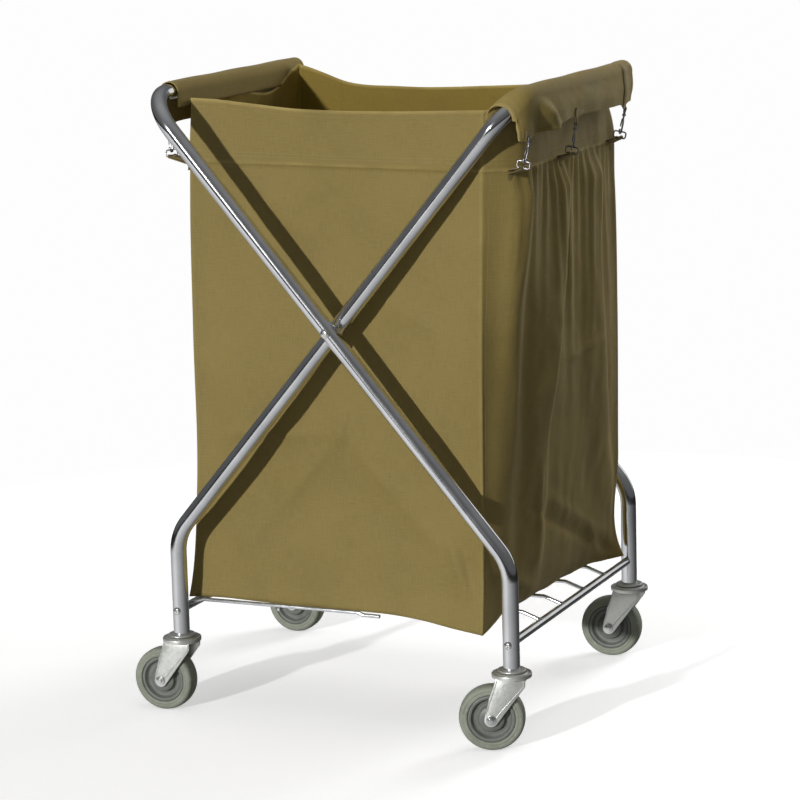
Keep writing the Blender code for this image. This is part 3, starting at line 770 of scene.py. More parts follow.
def gathers(y, z, seed, count, strength):
    """Narrow pleats that start at the hem band and melt away below it."""
    draw = random.Random(seed)
    total = np.zeros_like(y)
    for k in range(count):
        place = -0.205 + 0.41 * (k + 0.5 + draw.uniform(-0.32, 0.32)) / count
        drift = draw.uniform(-0.05, 0.05)
        width = draw.uniform(0.006, 0.011)
        reach = draw.uniform(0.05, 0.22)
        size = draw.uniform(0.5, 1.0) * strength
        below = np.maximum(SEAM_Z - z, 0)
        crest = y - place - drift * below
        spread = width * (1 + 3 * below)
        total += size * np.exp(-below / reach) * ridge(crest, spread, spread)
    return total * (z < SEAM_Z)


def creased(relief, u, v, creases):
    """relief with creases added: each is a height, the crease's two ends, and its width."""
    for height, start, end, width in creases:
        relief = relief + height * pinch(u, v, start, end, width)
    return relief


# across the panel (x on the front and back, y on the right side) and z
FRONT_CREASES = (
    (0.0050, (-0.252, 0.4416), (-0.004, 0.4541), 0.010),
    (-0.0030, (-0.252, 0.4416), (-0.200, 0.4460), 0.006),
    (0.0055, (-0.006, 0.490), (-0.001, 0.448), 0.008),
    (-0.0040, (0.004, 0.470), (0.006, 0.430), 0.005),
    (0.0060, (-0.004, 0.4541), (-0.158, 0.287), 0.014),
    (0.0060, (-0.004, 0.4541), (0.150, 0.290), 0.014),
    (0.0075, (0.168, 0.300), (0.205, 0.185), 0.010),
    (-0.0065, (0.188, 0.300), (0.214, 0.190), 0.007),
    (0.0035, (-0.235, 0.935), (-0.060, 0.760), 0.015),
    (0.0030, (0.073, 0.665), (0.145, 0.622), 0.010),
)
BACK_CREASES = (
    (0.0020, (-0.25, 0.455), (0.25, 0.448), 0.004),
    (0.0020, (0.0, 0.452), (0.17, 0.26), 0.006),
    (0.0020, (0.0, 0.452), (-0.16, 0.28), 0.006),
)
RIGHT_CREASES = (
    (-0.0030, (-0.207, 0.858), (-0.196, 0.520), 0.0030),
    (-0.0028, (-0.186, 0.860), (-0.176, 0.640), 0.0035),
    (0.0030, (-0.196, 0.860), (-0.188, 0.600), 0.0050),
    (-0.0050, (-0.10, 0.330), (0.205, 0.195), 0.006),
    (0.0030, (-0.06, 0.345), (0.205, 0.215), 0.008),
    (0.0050, (-0.085, 0.400), (-0.070, 0.240), 0.008),
    (0.0040, (0.005, 0.545), (0.130, 0.560), 0.006),
    (0.0045, (-0.150, 0.230), (-0.060, 0.190), 0.008),
    (0.0045, (0.120, 0.250), (0.175, 0.195), 0.008),
)


def panel_relief(panel, s, x, y, z):
    """How far the cloth stands out of a panel's plan: folds, gathers, creases and the doubled hem."""
    hem = 0.0011 * (z > SEAM_Z + 0.0004)
    soft = cloth_noise(x, y, z, (9.0, 9.0, 5.0)) * 0.6 + cloth_noise(x + 3, y, z, (24.0, 24.0, 9.0)) * 0.4
    fine = cloth_noise(x, y + 5, z, (60.0, 60.0, 30.0))
    away = ease(np.minimum(s, 1 - s) / 0.06)
    if panel == "front":
        x, z = x + 0.44 * (y + BAG_Y), z + 0.19 * (y + BAG_Y)
        relief = 0.0040 * soft + 0.0006 * fine - 0.0040
        relief = creased(relief, x, z, FRONT_CREASES)
        relief = np.clip(relief, -0.012, 0.0042) * (0.15 + 0.85 * ease((z - 0.178) / 0.035))
        return relief * away + hem
    if panel == "back":
        relief = 0.0045 * soft + 0.0006 * fine - 0.0010
        relief = creased(relief, x, z, BACK_CREASES)
        relief = np.clip(relief, -0.010, 0.0034)
        near_nut = np.exp(-(x**2 + (z - PIVOT.z) ** 2) / 0.03**2)
        relief = np.minimum(relief, 0.0034 - 0.0032 * near_nut)
        seam = 0.0010 * (np.abs(s - (1 - BACK_SEAM)) < 0.002)
        return relief * away + hem + seam
    low = ease((z - 0.17) / 0.12) * (0.45 + 0.55 * ease((z - 0.25) / 0.40))
    if panel == "right":
        relief = 0.0050 * soft * low + 0.0008 * fine
        b = through((0.15, 0.45, 0.56, 0.86), (-0.170, -0.166, -0.174, -0.178), z)
        slope = through((0.45, 0.56, 0.70, 0.80), (0.040, 0.036, 0.040, 0.048), z)
        rise = through((0.40, 0.70), (2.2, 1.0), z)
        relief += 0.0120 * ridge((y - b) / slope, rise, 1.0) * low * ease((SEAM_Z - z) / 0.05)
        c = through((0.15, 0.36, 0.44, 0.54, 0.69, 0.79, 0.86),
                    (-0.060, -0.065, -0.071, -0.060, -0.030, -0.014, -0.008), z)
        relief += 0.0145 * ridge(y - c, 0.095, 0.020) * low * ease((SEAM_Z - z) / 0.05)
        d = through((0.15, 0.31, 0.39, 0.51, 0.66, 0.77, 0.86),
                    (0.200, 0.185, 0.159, 0.136, 0.120, 0.125, 0.130), z)
        relief += 0.0150 * ridge(y - d, 0.090, 0.036) * low * ease((SEAM_Z - z) / 0.05)
        relief -= 0.0030 * low
        relief = creased(relief, y, z, RIGHT_CREASES)
        relief += gathers(y, z, 11, 18, 0.0062)
        relief = np.clip(relief, -0.012, 0.0150)
        limit = np.where(z > 0.84, 0.2895, 0.297) - np.abs(x)
        relief = np.minimum(relief, np.maximum(limit, 0.0012))
        return relief * away + hem * 0.9
    relief = 0.0065 * soft * low + 0.0008 * fine
    for top, foot, size in ((-0.140, -0.100, 0.009), (-0.045, -0.075, 0.007), (0.060, 0.030, 0.010),
                            (0.150, 0.150, 0.007)):
        crest = through((0.15, 0.86), (foot, top), z)
        relief += size * ridge(y - crest, 0.038, 0.045) * low * ease((SEAM_Z - z) / 0.08)
    relief -= 0.0040 * pinch(y, z, (0.08, 0.340), (-0.190, 0.200), 0.011)
    relief += gathers(y, z, 23, 18, 0.0062)
    limit = np.where(z > 0.84, 0.2895, 0.297) - np.abs(x)
    relief = np.minimum(np.clip(relief, -0.012, 0.0150), np.maximum(limit, 0.0012))
    return relief * away + hem * 0.9


def panel_points(panel):
    """Grid of a panel, rows from the bottom edge to the top edge, with its wear values."""
    shares = SHARES[panel]
    foot = through(*BOTTOM_EDGE[panel], shares)
    head = through(*TOP_EDGE[panel], shares)
    seam = np.full_like(shares, SEAM_Z)
    rise = np.linspace(0, 1, LOW_ROWS + 1)[:-1, None]
    rows = [foot + (seam - 0.0006 - foot) * rise, (seam - 0.0002)[None], (seam + 0.0006)[None]]
    climb = np.linspace(0, 1, HIGH_ROWS + 1)[1:, None]
    rows.append(seam + 0.0006 + (head - seam - 0.0006) * climb)
    z = np.vstack(rows)
    s = np.broadcast_to(shares, z.shape)
    x, y, nx, ny = panel_plan(panel, s, z)
    relief = panel_relief(panel, s, x, y, z)
    seam_bead = 0.0012 * np.maximum(ridge(s, 0.01, 0.010), ridge(s - 1, 0.010, 0.01))
    top_roll = 0.0007 * ease((z - head + 0.012) / 0.003)
    turn = 0.5 * (1 - ease(np.minimum(s, 1 - s) / 0.03))
    out = relief + seam_bead + top_roll
    lean = {"front": ((-1, 0), (1, 0)), "right": ((0, -1), (0, 1)), "back": ((1, 0), (-1, 0)),
            "left": ((0, 1), (0, -1))}[panel]
    first = s < 0.5
    mx = nx + turn * np.where(first, lean[0][0], lean[1][0]) * 2
    my = ny + turn * np.where(first, lean[0][1], lean[1][1]) * 2
    length = np.hypot(mx, my)
    points = np.stack([x + out * mx / length, y + out * my / length, z], axis=-1)
    wear = np.maximum(ease(1 - (head - z) / 0.004), 0.8 * (np.abs(z - SEAM_Z - 0.0006) < 0.0006))
    wear = np.maximum(wear, 0.5 * ease(1 - np.minimum(s, 1 - s) / 0.006))
    wear = np.maximum(wear, 0.7 * ease(1 - (z - foot) / 0.006))
    return points, wear


def cloth_object(name, verts, quads, cloth, wear, look, body):
    """A cloth surface as a piece: its flat coordinates and wear go to point attributes."""
    mesh = bpy.data.meshes.new(name)
    mesh.from_pydata([tuple(v) for v in verts], [], [tuple(int(i) for i in q) for q in quads])
    mesh.shade_smooth()
    place = mesh.attributes.new("cloth", "FLOAT_VECTOR", "POINT")
    place.data.foreach_set("vector", np.asarray(cloth, np.float32).ravel())
    worn = mesh.attributes.new("wear", "FLOAT", "POINT")
    worn.data.foreach_set("value", np.asarray(wear, np.float32).ravel())
    mesh.materials.append(look)
    ob = shown(name, mesh)
    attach(ob, body)
    return ob


def thicken(ob, thickness, offset):
    wall = ob.modifiers.new("cloth_thickness", "SOLIDIFY")
    wall.thickness = thickness
    wall.offset = offset
    wall.use_even_offset = False
    return wall


def fold_with_frame(ob):
    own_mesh(ob)


def bag_walls():
    """The four panels as one ring of columns. Returns points, wear and cloth lengths, rows by columns."""
    points = []
    wear = []
    for panel in PANELS:
        p, w = panel_points(panel)
        points.append(p[:, :-1])
        wear.append(w[:, :-1])
    points = np.concatenate(points, axis=1)
    wear = np.concatenate(wear, axis=1)
    for _ in range(2):
        seams = np.cumsum([0] + [len(SHARES[p]) - 1 for p in PANELS[:-1]])
        ahead = np.roll(points, -1, axis=1)
        behind = np.roll(points, 1, axis=1)
        points[:, seams] = 0.5 * points[:, seams] + 0.25 * (ahead[:, seams] + behind[:, seams])
    step = np.linalg.norm(np.roll(points, -1, axis=1) - points, axis=2).mean(axis=0)
    along = np.concatenate([[0], np.cumsum(step)[:-1]])
    return points, wear, along, float(step.sum())


def bag_floor(ring, first_index):
    """Points and faces of the floor inside the bottom ring, and how it sags between the rods."""
    nx, ny = len(FRONT_S) - 1, len(SIDE_S) - 1
    index = {}
    for i in range(nx):
        index[(i, 0)] = i
    for j in range(ny):
        index[(nx, j)] = nx + j
    for i in range(nx):
        index[(nx - i, ny)] = nx + ny + i
    for j in range(ny):
        index[(0, ny - j)] = 2 * nx + ny + j
    verts = []
    s, t = FRONT_S, SIDE_S
    for j in range(1, ny):
        for i in range(1, nx):
            front, back = ring[index[(i, 0)]], ring[index[(i, ny)]]
            left, right = ring[index[(0, j)]], ring[index[(nx, j)]]
            corners = ((1 - s[i]) * (1 - t[j]) * ring[index[(0, 0)]]
                       + s[i] * (1 - t[j]) * ring[index[(nx, 0)]]
                       + (1 - s[i]) * t[j] * ring[index[(0, ny)]]
                       + s[i] * t[j] * ring[index[(nx, ny)]])
            p = (1 - t[j]) * front + t[j] * back + (1 - s[i]) * left + s[i] * right - corners
            edge = ease(min(s[i], 1 - s[i], t[j], 1 - t[j]) / 0.06)
            x, y = p[0], p[1]
            held = 0.1816 + 0.0048 * math.exp(-((x - 0.120) / 0.016) ** 2) * ease((0.175 - abs(y)) / 0.03)
            held -= 0.0130 * ease((x - 0.055) / 0.12) * ease((-0.150 - y) / 0.045)
            held += 0.0006 * noise.noise(Vector((x * 30, y * 30, 2.0)))
            p[2] = (1 - edge) * p[2] + edge * held
            index[(i, j)] = first_index + len(verts)
            verts.append(p)
    faces = [(index[(i, j)], index[(i, j + 1)], index[(i + 1, j + 1)], index[(i + 1, j)])
             for j in range(ny) for i in range(nx)]
    return verts, faces


ROW_SHIFT = np.array(MIDDLE)
walls, wall_wear, wall_along, bag_girth = bag_walls()
rows, columns = walls.shape[:2]
quads = [(r * columns + c, r * columns + (c + 1) % columns, (r + 1) * columns + (c + 1) % columns,
          (r + 1) * columns + c) for r in range(rows - 1) for c in range(columns)]
floor_verts, floor_quads = bag_floor(walls[0], rows * columns)
bag_verts = np.vstack([walls.reshape(-1, 3), np.array(floor_verts)]) + ROW_SHIFT
wall_cloth = np.stack([np.broadcast_to(wall_along, (rows, columns)), walls[..., 2],
                       np.zeros((rows, columns))], axis=-1).reshape(-1, 3)
floor_cloth = np.array([(x, y, 0.0) for x, y, _ in floor_verts])
bag_wear = np.concatenate([wall_wear.ravel(), np.zeros(len(floor_verts))])
bag = cloth_object("bag_canvas", bag_verts, quads + floor_quads, np.vstack([wall_cloth, floor_cloth]),
                   bag_wear, BAG_CANVAS, "bag")
thicken(bag, CLOTH, -1.0)
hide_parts("bag_body")
fold_with_frame(bag)


# ---- stitching -----------------------------------------------------------------------------
STITCH_LENGTH = 0.0034
STITCH_GAP = 0.0014
STITCH_R = 0.00036


def stitch_line(bm, line, outward, lift=0.0002):
    """Short thread capsules along a polyline, lying on the cloth."""
    line = np.asarray(line)
    steps = np.linalg.norm(np.diff(line, axis=0), axis=1)
    along = np.concatenate([[0], np.cumsum(steps)])
    start = STITCH_GAP
    while start + STITCH_LENGTH < along[-1]:
        at = [start, start + STITCH_LENGTH / 2, start + STITCH_LENGTH]
        points = [Vector([np.interp(a, along, line[:, k]) for k in range(3)]) for a in at]
        out = Vector([np.interp(at[1], along, outward[:, k]) for k in range(3)])
        points = [points[0] - out * lift, points[1] + out * 2 * lift, points[2] - out * lift]
        sweep(bm, points, [STITCH_R * 0.5, STITCH_R, STITCH_R * 0.5], 5)
        start += STITCH_LENGTH + STITCH_GAP


def wall_outward():
    """Outward unit directions of the wall grid."""
    ahead = np.roll(walls, -1, axis=1) - np.roll(walls, 1, axis=1)
    up = np.gradient(walls, axis=0)
    out = np.cross(ahead, up)
    return out / np.maximum(np.linalg.norm(out, axis=2, keepdims=True), 1e-9)


outward = wall_outward()
bm = bmesh.new()
seam_row = LOW_ROWS + 1
closed_ring = list(range(columns)) + [0]
for row in (seam_row + 2, seam_row + 3):
    stitch_line(bm, walls[row][closed_ring] + ROW_SHIFT, outward[row][closed_ring])
stitch_line(bm, walls[rows - 3][closed_ring] + ROW_SHIFT, outward[rows - 3][closed_ring])
panel_starts = np.cumsum([0] + [len(SHARES[p]) - 1 for p in PANELS[:-1]])
for first in panel_starts:
    for column in (first - 3, first + 3):
        stitch_line(bm, walls[: seam_row, column] + ROW_SHIFT, outward[: seam_row, column])
back_seam = panel_starts[2] + int(np.argmin(np.abs(FRONT_S - (1 - BACK_SEAM))))
for column in (back_seam - 2, back_seam + 2):
    stitch_line(bm, walls[:, column] + ROW_SHIFT, outward[:, column])
bag_thread = piece("bag_stitching", bm, STITCH, "bag", sharp=80)
fold_with_frame(bag_thread)


# ---- sleeves over the top bars -------------------------------------------------------------
FLAP_X = 0.0160
SLEEVE_R = TUBE_R + 0.0007
HOOK_TOP_Z = 0.9098
SLEEVES = {
    # side, inner skirt's ends, flap's ends, hem stops (y, z)
    "left": (-1, (-0.186, 0.194), (-0.190, 0.264), ((-0.190, -0.10, 0.05, 0.18, 0.264),
                                                   (0.9170, 0.9185, 0.9200, 0.9190, 0.9200))),
    "right": (1, (-0.166, 0.166), (-0.2350, 0.256), ((-0.235, -0.20, -0.13, -0.06, 0.10, 0.256),
                                                     (0.9095, 0.9115, 0.9180, 0.9240, 0.9225, 0.9205))),
}
# how far the flap's hem stands out from the bar's axis, along y
FLAP_STAND = {
    "left": ((-0.190, 0.0, 0.20, 0.264), (0.0150, 0.0160, 0.0150, 0.0120)),
    "right": ((-0.236, -0.222, -0.17, -0.03, 0.12, 0.20, 0.256),
              (0.0030, 0.0090, 0.0145, 0.0160, 0.0155, 0.0130, 0.0060)),
}
SKIRT_Z = 0.9455
HOOKS = {"left": ((-0.165, 8.0), (0.030, 0.0), (0.225, 8.0)),
         "right": ((-0.222, 16.0), (-0.028, 0.0), (0.197, 10.0))}


def sleeve_section(name, y):
    """Half section of a sleeve at y, as (outwards, z, share down the flap), from inner edge to hem."""
    side, skirt, flap, hem_stops = SLEEVES[name]
    hood = float(ease((skirt[0] - 0.006 - y) / 0.055)) if name == "right" else 0.0
    open_back = float(ease((y - skirt[1]) / 0.07))
    opened = max(hood, open_back)
    turn = min(1.0, max(0.0, (CORNER_R - INNER_Y - y) / CORNER_R)) if hood else 0.0
    drop = CORNER_R * (1 - math.sqrt(1 - turn * turn))
    radius = SLEEVE_R + 0.0015 + 0.0060 * hood
    inner_z = SKIRT_Z + (0.9720 - SKIRT_Z) * min(1.0, opened * 1.6)
    hem = float(through(*hem_stops, y))
    for hook_y, _ in HOOKS[name]:
        hem -= 0.0035 * math.exp(-((y - hook_y) / 0.016) ** 2)
    shift = -0.64 * drop
    if name == "right":
        shift -= 0.0070 * float(ease((y - 0.19) / 0.05))
    centre_z = TOP_Z - 0.76 * drop + 0.0004 * math.sin(y * 40)
    inner_z -= 0.76 * drop
    stand = float(through(*FLAP_STAND[name], y))
    section = []
    for k in range(8):
        section.append((shift - radius, inner_z + (centre_z - inner_z) * k / 8, 0.0))
    for k in range(19):
        a = math.pi * (1 - k / 18)
        section.append((shift + radius * math.cos(a), centre_z + radius * math.sin(a), 0.0))
    for k in range(1, 25):
        t = k / 24
        z = centre_z + (hem - centre_z) * t
        out = shift + radius + (stand - shift - radius) * t + 0.0020 * math.sin(math.pi * t) ** 2
        wave = noise.noise(Vector((y * 17, side * 3.0, t * 0.8)))
        out += 0.0050 * ease(t) * wave
        if name == "right":
            down = min(1.0, max(0.0, (0.967 - z) / 0.045))
            crest = -0.176 + 0.034 * down
            out += 0.0160 * float(ridge(y - crest, 0.034, 0.034 + 0.014 * down)) * float(ease(t * 1.8))
            out -= 0.0040 * float(ridge(y - crest + 0.050, 0.030, 0.030)) * float(ease(t * 1.6))
        floor_out = SLEEVE_R + 0.0002 if abs(y) < 0.17 else 0.0
        section.append((max(out, floor_out), z, t))
    return section


def sleeve(name):
    side, skirt, flap, _ = SLEEVES[name]
    count = 150
    rows_y = [flap[0] + (flap[1] - flap[0]) * k / count for k in range(count + 1)]
    verts = []
    cloth = []
    wear = []
    for y in rows_y:
        along = 0.0
        last = None
        section = sleeve_section(name, y)
        for k, (out, z, t) in enumerate(section):
            wrinkle = 0.0005 * noise.noise(Vector((y * 55, z * 70, side)))
            point = Vector(((TOP_X + out + (wrinkle if t > 0 else 0.0)) * side, y, z))
            if last is not None:
                along += math.dist((out, z), last)
            last = (out, z)
            verts.append(point + MIDDLE)
            cloth.append((y, along, 0.0))
            edge = min(k, len(section) - 1 - k) < 1 or y in (rows_y[0], rows_y[-1])
            wear.append(0.9 if edge else 0.0)
    width = len(section)
    quads = []
    for r in range(count):
        for k in range(width - 1):
            a = r * width + k
            quad = (a, a + 1, a + width + 1, a + width)
            quads.append(quad if side > 0 else tuple(reversed(quad)))
    ob = cloth_object(f"bag_top_{name}", verts, quads, cloth, wear, CANVAS, f"{name}_sleeve")
    thicken(ob, CLOTH, 1.0)
    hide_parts(f"bag_sleeve_{name}")
    bm = bmesh.new()
    grid = np.array([tuple(v) for v in verts]).reshape(count + 1, width, 3)
    across = np.cross(np.gradient(grid, axis=0), np.gradient(grid, axis=1))
    across *= -side / np.maximum(np.linalg.norm(across, axis=2, keepdims=True), 1e-9)
    across = np.where((across[..., 0] * side)[:, -1:, None] < 0, -across, across)
    for k in (width - 3, width - 5):
        stitch_line(bm, grid[:, k] + across[:, k] * CLOTH, across[:, k])
    for r in (2, count - 2):
        stitch_line(bm, grid[r] + across[r] * CLOTH, across[r])
    piece(f"bag_top_{name}_stitching", bm, STITCH, f"{name}_sleeve", sharp=80)


for name in SLEEVES:
    sleeve(name)


# ---- hooks, rings and webbing --------------------------------------------------------------
HOOK_R = 0.0014
EYE_R = 0.0034
BOW_R = 0.0050
BOW_Z = -0.0310
RING_TOP = BOW_Z - BOW_R + HOOK_R + 0.0012 + 0.0004
RING_HALF = (0.0100, 0.0050)


def ribbon(bm, path, widths, broad, thickness=0.0011):
    """A flat strap along path, its width along broad, its edges squared."""
    path = [Vector(p) for p in path]
    rings = []
    for i, point in enumerate(path):
        tangent = (path[min(i + 1, len(path) - 1)] - path[max(i - 1, 0)]).normalized()
        flat = (broad - tangent * broad.dot(tangent)).normalized() * widths[i] / 2
        thick = tangent.cross(flat).normalized() * thickness / 2
        rings.append([bm.verts.new(point + flat * a + thick * b)
                      for a, b in ((-1, -0.6), (-0.96, -1), (0, -1.12), (0.96, -1), (1, -0.6),
                                   (1, 0.6), (0.96, 1), (0, 1.12), (-0.96, 1), (-1, 0.6))])
    bm.faces.new(reversed(rings[0]))
    bm.faces.new(rings[-1])
    for a, b in zip(rings, rings[1:]):
        for k in range(10):
            n = (k + 1) % 10
            bm.faces.new((a[k], a[n], b[n], b[k]))


def hook_path():
    """Open eye, shank and bow in the local YZ plane, around the eye's centre."""
    points = []
    for k in range(21):
        a = math.radians(240 - 300 * k / 20)
        points.append(Vector((0, EYE_R * math.cos(a), EYE_R * math.sin(a))))
    shank = [(0, 0.0013, -0.0036), (0, 0.0013, -0.0110), (0, BOW_R, -0.0180), (0, BOW_R, BOW_Z)]
    points = points[:-1] + rounded_path(shank, [0.006, 0.010], 12)
    for k in range(1, 21):
        a = math.radians(-200 * k / 20)
        points.append(Vector((0, BOW_R * math.cos(a), BOW_Z + BOW_R * math.sin(a))))
    return points


def ring_path():
    width, height = RING_HALF
    bend = 0.0030
    points = []
    for cx, cz, start in ((1, 1, 0), (-1, 1, 90), (-1, -1, 180), (1, -1, 270)):
        for k in range(7):
            a = math.radians(start + 15 * k)
            points.append(Vector((cx * (width - bend) + bend * math.cos(a), 0,
                                  RING_TOP - height + cz * (height - bend) + bend * math.sin(a))))
    return points


def nearest_wall(y, z, side):
    """A point on the outside of a side panel at y and z."""
    panel = "right" if side > 0 else "left"
    first = panel_starts[PANELS.index(panel)]
    block = walls[:, first:first + len(SIDE_S) - 1].reshape(-1, 3)
    return Vector(block[np.argmin((block[:, 1] - y) ** 2 + (block[:, 2] - z) ** 2)])


def hook_set(name, number, y, slant):
    side = -1 if name == "left" else 1
    tag = f"{name[0]}{number}"
    hang = (
        Matrix.Translation(MIDDLE + Vector(((TOP_X + FLAP_X) * side, y, HOOK_TOP_Z)))
        @ Matrix.Rotation(math.radians(10 * side), 4, "Y")
        @ Matrix.Rotation(math.radians(-slant), 4, "X")
    )
    bm = bmesh.new()
    sweep(bm, [hang @ p for p in hook_path()], HOOK_R, 14)
    collar = [(0, -0.0042), (0.0026, -0.0044), (0.0030, -0.0062), (0.0024, -0.0086), (0, -0.0088)]
    lathe(bm, soften(collar, 0.0006), hang @ Matrix.Translation((0, 0.0013, 0)), 20)
    part(f"hook_{tag}", bm, NICKEL, "hook_nickel", f"snap_hook_{tag}", 60)
    bm = bmesh.new()
    bend = [(0, -0.0028, -0.0125), (0, -0.0046, -0.0180), (0, -0.0049, BOW_Z + 0.0060)]
    gate = rounded_path(bend, [0.010], 12)
    sweep(bm, [hang @ p for p in gate], 0.0011, 12)
    part(f"gate_{tag}", bm, NICKEL, "hook_nickel", f"snap_gate_{tag}", 60)
    bm = bmesh.new()
    sweep(bm, [hang @ p for p in ring_path()], 0.0012, 12, cyclic=True)
    part(f"ring_{tag}", bm, NICKEL, "hook_nickel", f"d_ring_{tag}", 60)

    bm = bmesh.new()
    section = sleeve_section(name, y)
    from_ridge = number == 3
    start = 8 + 11 if from_ridge else len(section) - 9
    outside = [Vector(((TOP_X + o + CLOTH + 0.0009) * side, y, z)) + MIDDLE for o, z, _ in section[start:]]
    eye_top = hang @ Vector((0, 0, EYE_R))
    wrap = [eye_top + Vector((math.cos(a) * side, 0, math.sin(a))) * 0.0021
            for a in (math.radians(d) for d in range(0, -181, -20))]
    back_up = [Vector(((TOP_X + section[-k][0] - 0.0009) * side, y, section[-k][1])) + MIDDLE
               for k in (1, 4, 8)]
    wide = 0.016 if from_ridge else 0.012
    path = outside + wrap + back_up
    widths = [wide] * (len(outside) - 2) + [wide * 0.75, wide * 0.5]
    widths += [0.0038] * len(wrap) + [wide * 0.6, wide, wide]
    ribbon(bm, path, widths, Vector((0, 1, 0)))
    bottom = hang @ Vector((0, 0, RING_TOP - 2 * RING_HALF[1]))
    on_wall = MIDDLE + nearest_wall(max(-0.200, min(0.205, y)), SEAM_Z - 0.004, side)
    inward = (on_wall - bottom).normalized()
    low_turn = [bottom + Vector((math.cos(a) * side, 0, math.sin(a))) * 0.0019
                for a in (math.radians(d) for d in range(-60, 181, 24))]
    front_end = on_wall + Vector((0.0013 * side, 0, 0.004))
    path = [front_end + Vector((0.0004 * side, 0, -0.004)), front_end, *low_turn,
            on_wall + Vector((0.0022 * side, 0, 0.010)), on_wall + Vector((0.0006 * side, 0, -0.006))]
    ribbon(bm, path, [0.0135] * len(path), Vector((1, 0, 0)) * 0.5 + Vector((0, 1, 0)))
    return piece(f"webbing_{tag}", bm, WEBBING, f"{name}_sleeve")


for name, spots in HOOKS.items():
    for number, (y, slant) in enumerate(spots, start=1):
        hook_set(name, number, y, slant)


# ---- studio --------------------------------------------------------------------------------
def stage_floor():
    """White paper floor, brighter and then plain white with distance. Shiny things don't reflect it."""
    bm = bmesh.new()
    bmesh.ops.create_circle(bm, cap_ends=True, radius=60.0, segments=96)
    mesh = mesh_of("studio_floor", bm)
    floor = shown("studio_floor", mesh)
    look = Look("studio_paper")
    tree = look.tree
    output = tree.nodes["Material Output"]
    path = look.node("ShaderNodeLightPath")
    place = look.node("ShaderNodeNewGeometry").outputs["Position"]
    far = look.node("ShaderNodeVectorMath", operation="LENGTH")
    look.link(place, far.inputs[0])
    paper = look.node("ShaderNodeBsdfDiffuse")
    paper.inputs["Color"].default_value = (0.90, 0.90, 0.90, 1.0)
    glow = look.node("ShaderNodeEmission")
    glow.inputs["Color"].default_value = (1.0, 1.0, 1.0, 1.0)
    quarter = look.math("MULTIPLY", far.outputs["Value"], 0.25)
    look.link(look.ramp(quarter, (0.30, 0.45), (0.85, 0.75)), glow.inputs["Strength"])
    # For glossy rays the floor glows, brighter towards the front left: a painted reflection for shiny things.
    # The floor is hidden from glossy rays, so this glow isn't seen.
    flat = look.node("ShaderNodeVectorMath", operation="NORMALIZE")
    look.link(place, flat.inputs[0])
    towards = look.node("ShaderNodeVectorMath", operation="DOT_PRODUCT")
    look.link(flat.outputs[0], towards.inputs[0])
    towards.inputs[1].default_value = (-0.64, -0.77, 0.0)
    sheen = look.node("ShaderNodeEmission")
    around = look.math("MULTIPLY_ADD", towards.outputs["Value"], 0.5)
    shine = look.ramp(around, (0.0, 0.05), (0.20, 0.18), (0.50, 0.27), (0.73, 0.38), (0.92, 0.42), (1.0, 0.80))
    look.link(shine, sheen.inputs["Strength"])
    bright = look.node("ShaderNodeAddShader")
    look.link(paper.outputs[0], bright.inputs[0])
    look.link(glow.outputs[0], bright.inputs[1])
    white = look.node("ShaderNodeEmission")
    white.inputs["Strength"].default_value = 0.985
    seen = look.node("ShaderNodeMixShader")
    half = look.math("MULTIPLY", far.outputs["Value"], 0.5)
    look.link(look.ramp(half, (0.52, 0.0), (0.92, 1.0)), seen.inputs[0])
    look.link(bright.outputs[0], seen.inputs[1])
    look.link(white.outputs[0], seen.inputs[2])
    dim = look.node("ShaderNodeBsdfDiffuse")
    dim.inputs["Color"].default_value = (0.30, 0.30, 0.29, 1.0)
    mirrored = look.node("ShaderNodeMixShader")
    look.link(path.outputs["Is Glossy Ray"], mirrored.inputs[0])
    look.link(dim.outputs[0], mirrored.inputs[1])
    look.link(sheen.outputs[0], mirrored.inputs[2])
    pick = look.node("ShaderNodeMixShader")
    look.link(path.outputs["Is Camera Ray"], pick.inputs[0])
    look.link(mirrored.outputs[0], pick.inputs[1])
    look.link(seen.outputs[0], pick.inputs[2])
    look.link(pick.outputs[0], output.inputs["Surface"])
    mesh.materials.append(look.material)
    floor.visible_glossy = False


AIM_Z = 0.55               # height on the trolley that the area lights look at


def soft_box(name, direction, distance, size, watts, tint=(1.0, 1.0, 1.0)):
    """An area light that looks at the middle of the trolley from a direction."""
    data = bpy.data.lights.new(name, "AREA")
    data.shape = "RECTANGLE"
    data.size, data.size_y = size
    data.energy = watts
    data.color = tint
    ob = shown(name, data)
    away = Vector(direction).normalized()
    ob.location = MIDDLE + Vector((0, 0, AIM_Z)) + away * distance
    ob.rotation_euler = away.to_track_quat("Z", "Y").to_euler()
    ob.visible_glossy = False
    return ob


def distant_light(name, direction, strength, spread):
    """A far lamp: even light over the whole floor, with shadow edges softened by its spread in degrees."""
    data = bpy.data.lights.new(name, "SUN")
    data.energy = strength
    data.angle = math.radians(spread)
    ob = shown(name, data)
    ob.rotation_euler = Vector(direction).normalized().to_track_quat("Z", "Y").to_euler()
    return ob


